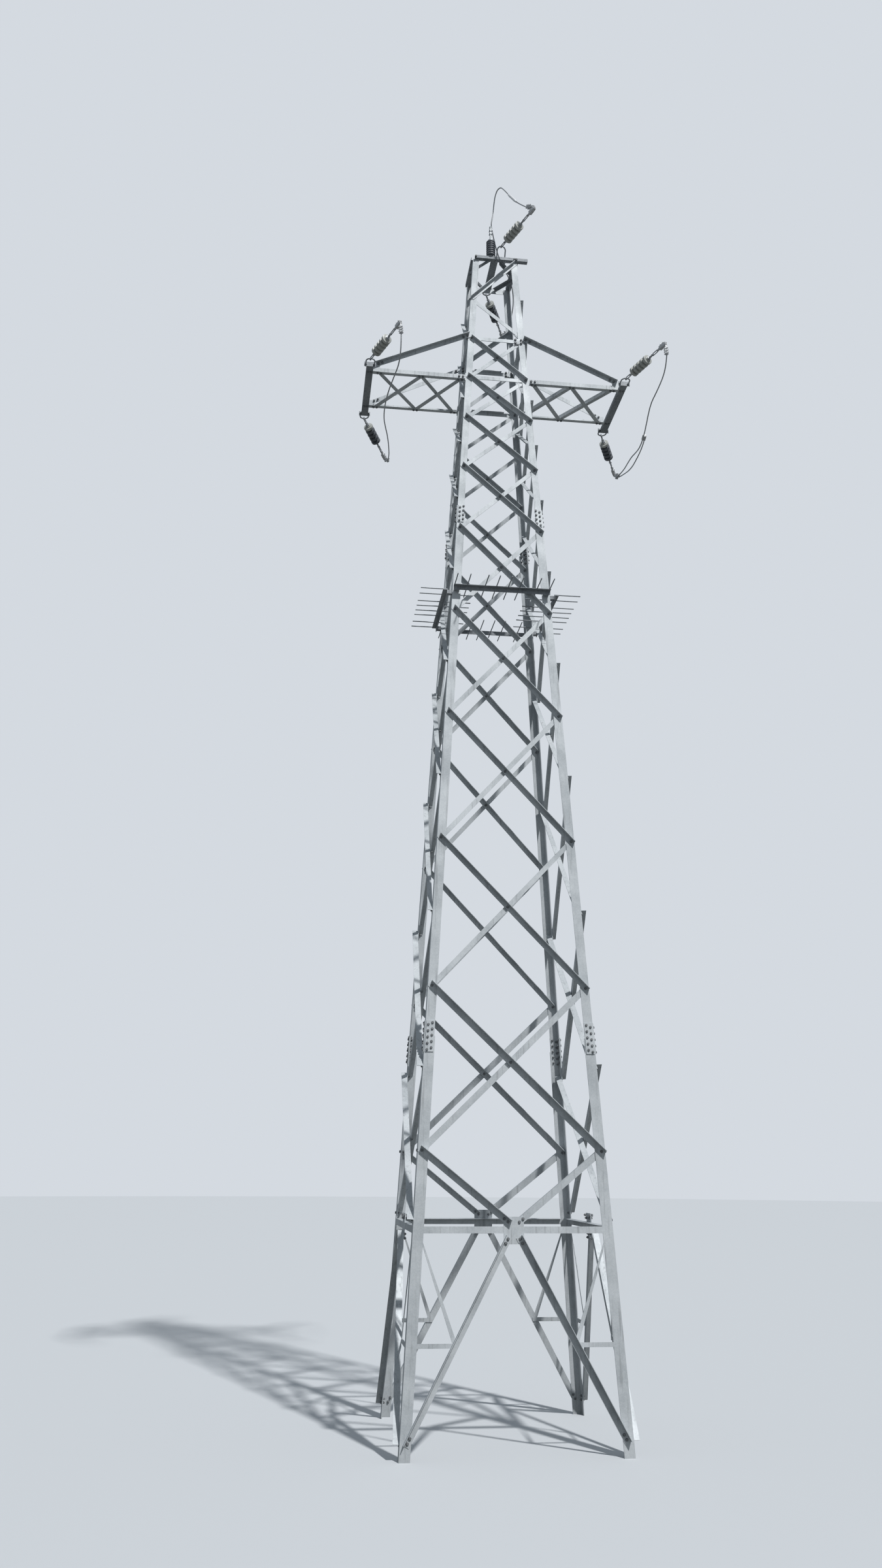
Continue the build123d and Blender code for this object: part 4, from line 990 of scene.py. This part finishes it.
# %% Jumpers
WIRE_R = 0.007
LEFT_PATH = [(-1.206, -1.218, 11.216), (-1.202, -1.185, 11.060), (-1.212, -1.070, 10.935),
             (-1.252, -0.890, 10.890), (-1.288, -0.690, 10.868), (-1.310, -0.482, 10.850),
             (-1.314, -0.275, 10.846), (-1.300, -0.068, 10.850), (-1.266, 0.134, 10.880),
             (-1.230, 0.335, 10.905), (-1.202, 0.536, 10.935), (-1.180, 0.736, 10.962),
             (-1.162, 0.926, 10.990), (-1.160, 1.110, 11.035)]
RIGHT_PATH = [(1.792, -1.218, 11.216), (1.797, -1.150, 11.120), (1.806, -1.010, 11.080),
              (1.808, -0.840, 11.066), (1.811, -0.670, 11.068), (1.813, -0.510, 11.076),
              (1.815, -0.370, 11.030), (1.817, -0.230, 10.925), (1.819, -0.080, 10.845),
              (1.821, 0.090, 10.822), (1.823, 0.270, 10.862), (1.826, 0.460, 10.920), (1.828, 0.660, 10.945),
              (1.831, 0.870, 10.967), (1.829, 1.075, 11.020)]
TWIN_PATH = [(1.838, -0.118, 10.865), (1.839, -0.080, 10.845), (1.841, 0.040, 10.812),
             (1.843, 0.190, 10.800), (1.845, 0.350, 10.806), (1.846, 0.500, 10.815), (1.846, 0.680, 10.855),
             (1.842, 0.850, 10.912), (1.836, 1.000, 10.965), (1.829, 1.088, 10.997), (1.819, 1.180, 11.035)]
TOP_PATH = [(0.284, -0.871, 13.350), (0.219, -0.752, 13.490), (0.160, -0.645, 13.645),
            (0.108, -0.550, 13.815), (0.074, -0.490, 13.918), (0.048, -0.442, 13.985),
            (0.014, -0.384, 13.988), (-0.004, -0.334, 13.935), (-0.014, -0.306, 13.850),
            (-0.020, -0.290, 13.740), (-0.034, -0.286, 13.645), (-0.046, -0.266, 13.558),
            (-0.006, -0.190, 13.465), (0.048, -0.085, 13.365), (0.115, 0.030, 13.295),
            (0.190, 0.150, 13.262), (0.262, 0.275, 13.262), (0.322, 0.400, 13.255), (0.368, 0.540, 13.225),
            (0.396, 0.680, 13.170), (0.398, 0.810, 13.095), (0.378, 0.895, 13.020), (0.352, 0.955, 12.962)]


def jumper(name, points):
    """The wire, and the points of its smooth line for the pieces that sit on it."""
    line = bpy.data.curves.new(name, "CURVE")
    line.dimensions = "3D"
    line.resolution_u = 8
    spline = line.splines.new("NURBS")
    spline.points.add(len(points) - 1)
    for place, point in zip(spline.points, points):
        place.co = (*point, 1)
    spline.order_u = 3
    spline.use_endpoint_u = True
    wire = bpy.data.objects.new(name, line)
    bpy.context.scene.collection.objects.link(wire)
    route = [vertex.co.copy() for vertex in bpy.data.meshes.new_from_object(wire).vertices]
    line.bevel_depth = WIRE_R
    line.bevel_resolution = 3
    line.use_fill_caps = True
    line.materials.append(wire_metal)
    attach(wire, "root")
    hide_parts(name)
    return wire, route


PATHS = {"left_jumper": LEFT_PATH, "right_jumper": RIGHT_PATH, "right_twin_jumper": TWIN_PATH,
         "top_jumper": TOP_PATH}
wires, routes = {}, {}
for name, path in PATHS.items():
    wires[name], routes[name] = jumper(name, path)
print("jumpers:", [wire.name for wire in wires.values()])

# %% [markdown]
# At each clamp a short sleeve takes the jumper's end, gripped by a stack of small bolted blocks. A block is
# two softened plates with a slot between them and a bolt on each side.

# %% Bolted blocks and sleeves
BLOCK_WIDE, BLOCK_HIGH, BLOCK_LONG = 0.039, 0.031, 0.024
TALL_WIDE, TALL_HIGH = 0.036, 0.064
SLOT = 0.004


def bolted_block(name, wide, high, long, spots):
    pieces = []
    for side in (-1, 1):
        plate = sized_block((wide, (high - SLOT) / 2, long), (0, side * (high + SLOT) / 4, 0))
        bpy.ops.object.mode_set(mode="OBJECT")
        soften(plate, 0.003)
        pieces.append(plate)
    for x, z in spots:
        seat = Matrix.Translation((x, high / 2, z)) @ Matrix.Rotation(-pi / 2, 4, "X")
        pieces.append(copy_at(small_bolt, seat))
    return joined(name, pieces)


def sleeve(long, radius, taper):
    return turned_piece("sleeve", [(0, radius * 0.62), (taper, radius * 0.95), (taper + 0.004, radius),
                                   (long - taper - 0.004, radius), (long - taper, radius * 0.95),
                                   (long, radius * 0.62)], 20)


block = bolted_block("block", BLOCK_WIDE, BLOCK_HIGH, BLOCK_LONG, ((-0.015, 0), (0.015, 0)))
tall_block = bolted_block("tall_block", TALL_WIDE, TALL_HIGH, BLOCK_LONG, ((-0.013, 0), (0.013, 0)))
print("faces in a block:", len(block.data.polygons))

# %% Connectors at the clamps
CLAMP_TIP, TIP_HALF = CLAMP_START + 0.117, 0.0177
SLEEVE_R, SLEEVE_TAPER = 0.013, 0.010
BLOCK_COUNT, FIRST_BLOCK, BLOCK_STEP, TWIN_DROP = 3, 0.022, 0.031, 0.0135


def clamp_seat(place, wire_end):
    """The point above or below a clamp's outer end from which its sleeve starts."""
    tip = place @ Vector((0, 0, CLAMP_TIP))
    up = place.col[1].to_3d()
    towards = (wire_end - tip).normalized().dot(up)
    reach = TIP_HALF + SLEEVE_R * sqrt(1 - towards * towards)
    return tip + up * (reach if towards > 0 else -reach)


def connector(place, wire_end, twinned):
    seat = clamp_seat(place, wire_end)
    line = along_line(wire_end, seat)
    tube = sleeve((seat - wire_end).length, SLEEVE_R, SLEEVE_TAPER)
    tube.data.transform(line)
    pieces = [tube]
    for i in range(BLOCK_COUNT):
        along = Matrix.Translation((0, 0, FIRST_BLOCK + BLOCK_STEP * i))
        if twinned and i == BLOCK_COUNT - 1:
            pieces.append(copy_at(tall_block, line @ along @ Matrix.Translation((0, -TWIN_DROP, 0))))
        else:
            pieces.append(copy_at(block, line @ along))
    return joined("connector", pieces)


grips = []
for side, end in (("near", 0), ("far", -1)):
    for place, path in zip(STRINGS[side], (LEFT_PATH, RIGHT_PATH, TOP_PATH)):
        grips.append(connector(place, Vector(path[end]), side == "far" and path is RIGHT_PATH))
drop(block, tall_block)
all_grips = finish_piece(joined("jumper_grips", grips), cast_metal)
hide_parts("jumper_connectors")
print("connectors:", len(grips), "faces", len(all_grips.data.polygons))

# %% [markdown]
# Two pieces sit along the wires themselves: the clamp that starts the right jumper's second strand, and a
# long bright splice sleeve on the top jumper. Both take their places from the wires' own smooth lines.

# %% Pieces on the wires
STRAND_LOW, STRAND_HIGH, STRAND_SHIFT = (1.819, -0.105, 10.865), (1.819, -0.050, 10.845), 0.010
STRAND_WIDE, STRAND_THICK, STRAND_LONG, STRAND_BOLTS = 0.044, 0.030, 0.070, (-0.024, 0, 0.024)
SPLICE_LOW, SPLICE_HIGH = (0.191, -0.702, 13.561), (0.120, -0.570, 13.780)
SPLICE_R, SPLICE_TAPER = 0.016, 0.040


def nearest(route, point):
    return min(route, key=lambda spot: (spot - Vector(point)).length)


grip_low = nearest(routes["right_jumper"], STRAND_LOW)
grip_high = nearest(routes["right_jumper"], STRAND_HIGH)
strand_line = along_line(grip_low, grip_high)
strand_middle = (grip_low + grip_high) / 2 + Vector((STRAND_SHIFT, 0, 0))
strand_spots = [(0, z) for z in STRAND_BOLTS]
strand_clamp = bolted_block("strand_clamp", STRAND_WIDE, STRAND_THICK, STRAND_LONG, strand_spots)
strand_clamp.data.transform(Matrix.Translation(strand_middle) @ strand_line.to_3x3().to_4x4())
finish_piece(strand_clamp, cast_metal)
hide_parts("jumper_joint")

splice_start = nearest(routes["top_jumper"], SPLICE_LOW)
splice_end = nearest(routes["top_jumper"], SPLICE_HIGH)
splice = sleeve((splice_end - splice_start).length, SPLICE_R, SPLICE_TAPER)
splice.data.transform(along_line(splice_start, splice_end))
finish_piece(splice, bright_sleeve)
print("splice sleeve", round((splice_end - splice_start).length, 3))

print("cords declared:", len(wires))

# %% [markdown]
# The post insulator on the head is thicker in the trunk, so its sheds are only shallow rounded ribs. Its
# steel foot goes through a pale plate down into the channel, and a cap with a long stem carries the wire.

# %% Post insulator
POST_PLACE = Matrix.Translation((-0.050, -half(HEAD_Z), HEAD_Z + 0.005))
FLANGE_TOP = 0.033
RIB_COUNT, RIB_START, RIB_PITCH, RIB_R, POST_TRUNK_R = 7, 0.045, 0.0307, 0.056, 0.048
FOOT_PROFILE = [(0.0, 0.019), (FLANGE_TOP, 0.019), (FLANGE_TOP + 0.001, 0.028), (0.046, 0.028)]
CAP_PROFILE = [(0.255, 0.030), (0.262, 0.033), (0.282, 0.033), (0.290, 0.024), (0.300, 0.013), (0.430, 0.012),
               (0.438, 0.019), (0.456, 0.019), (0.460, 0.012), (0.470, 0.012), (0.472, 0.017), (0.477, 0.017)]
STEM_GRIPS = (0.375, 0.420)


def seat_plate():
    plate = sized_block((0.074, 0.060, 0.006), (0, 0, FLANGE_TOP + 0.0035))
    bpy.ops.object.mode_set(mode="OBJECT")
    soften(plate, 0.001)
    return plate


ribs = shed_profile(RIB_COUNT, RIB_START, RIB_PITCH, RIB_R, POST_TRUNK_R, ROUND)
post_body = turned_piece("post_body", ribs, 40, 50)
post_body.data.transform(POST_PLACE)
finish_piece(post_body, dark_skin)
stem_grips = []
for up in STEM_GRIPS:
    grip = bolted_block("stem_grip", 0.036, 0.030, 0.022, ((-0.013, 0), (0.013, 0)))
    grip.data.transform(Matrix.Translation((0, 0, up)))
    stem_grips.append(grip)
post_foot = turned_piece("post_foot", FOOT_PROFILE, 28)
post_cap = turned_piece("post_cap", CAP_PROFILE, 28)
post_steel = joined("post_steel", [post_foot, post_cap, seat_plate()] + stem_grips)
post_steel.data.transform(POST_PLACE)
finish_piece(post_steel, zinc_new)
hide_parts("post_insulator")
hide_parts("post_insulator")
print("post insulator faces:", len(post_body.data.polygons) + len(post_steel.data.polygons))

# %% Clear up the templates
drop(lattice_bolt, crossing_bolt, plate_bolt, small_bolt, washer_part, nut_part)
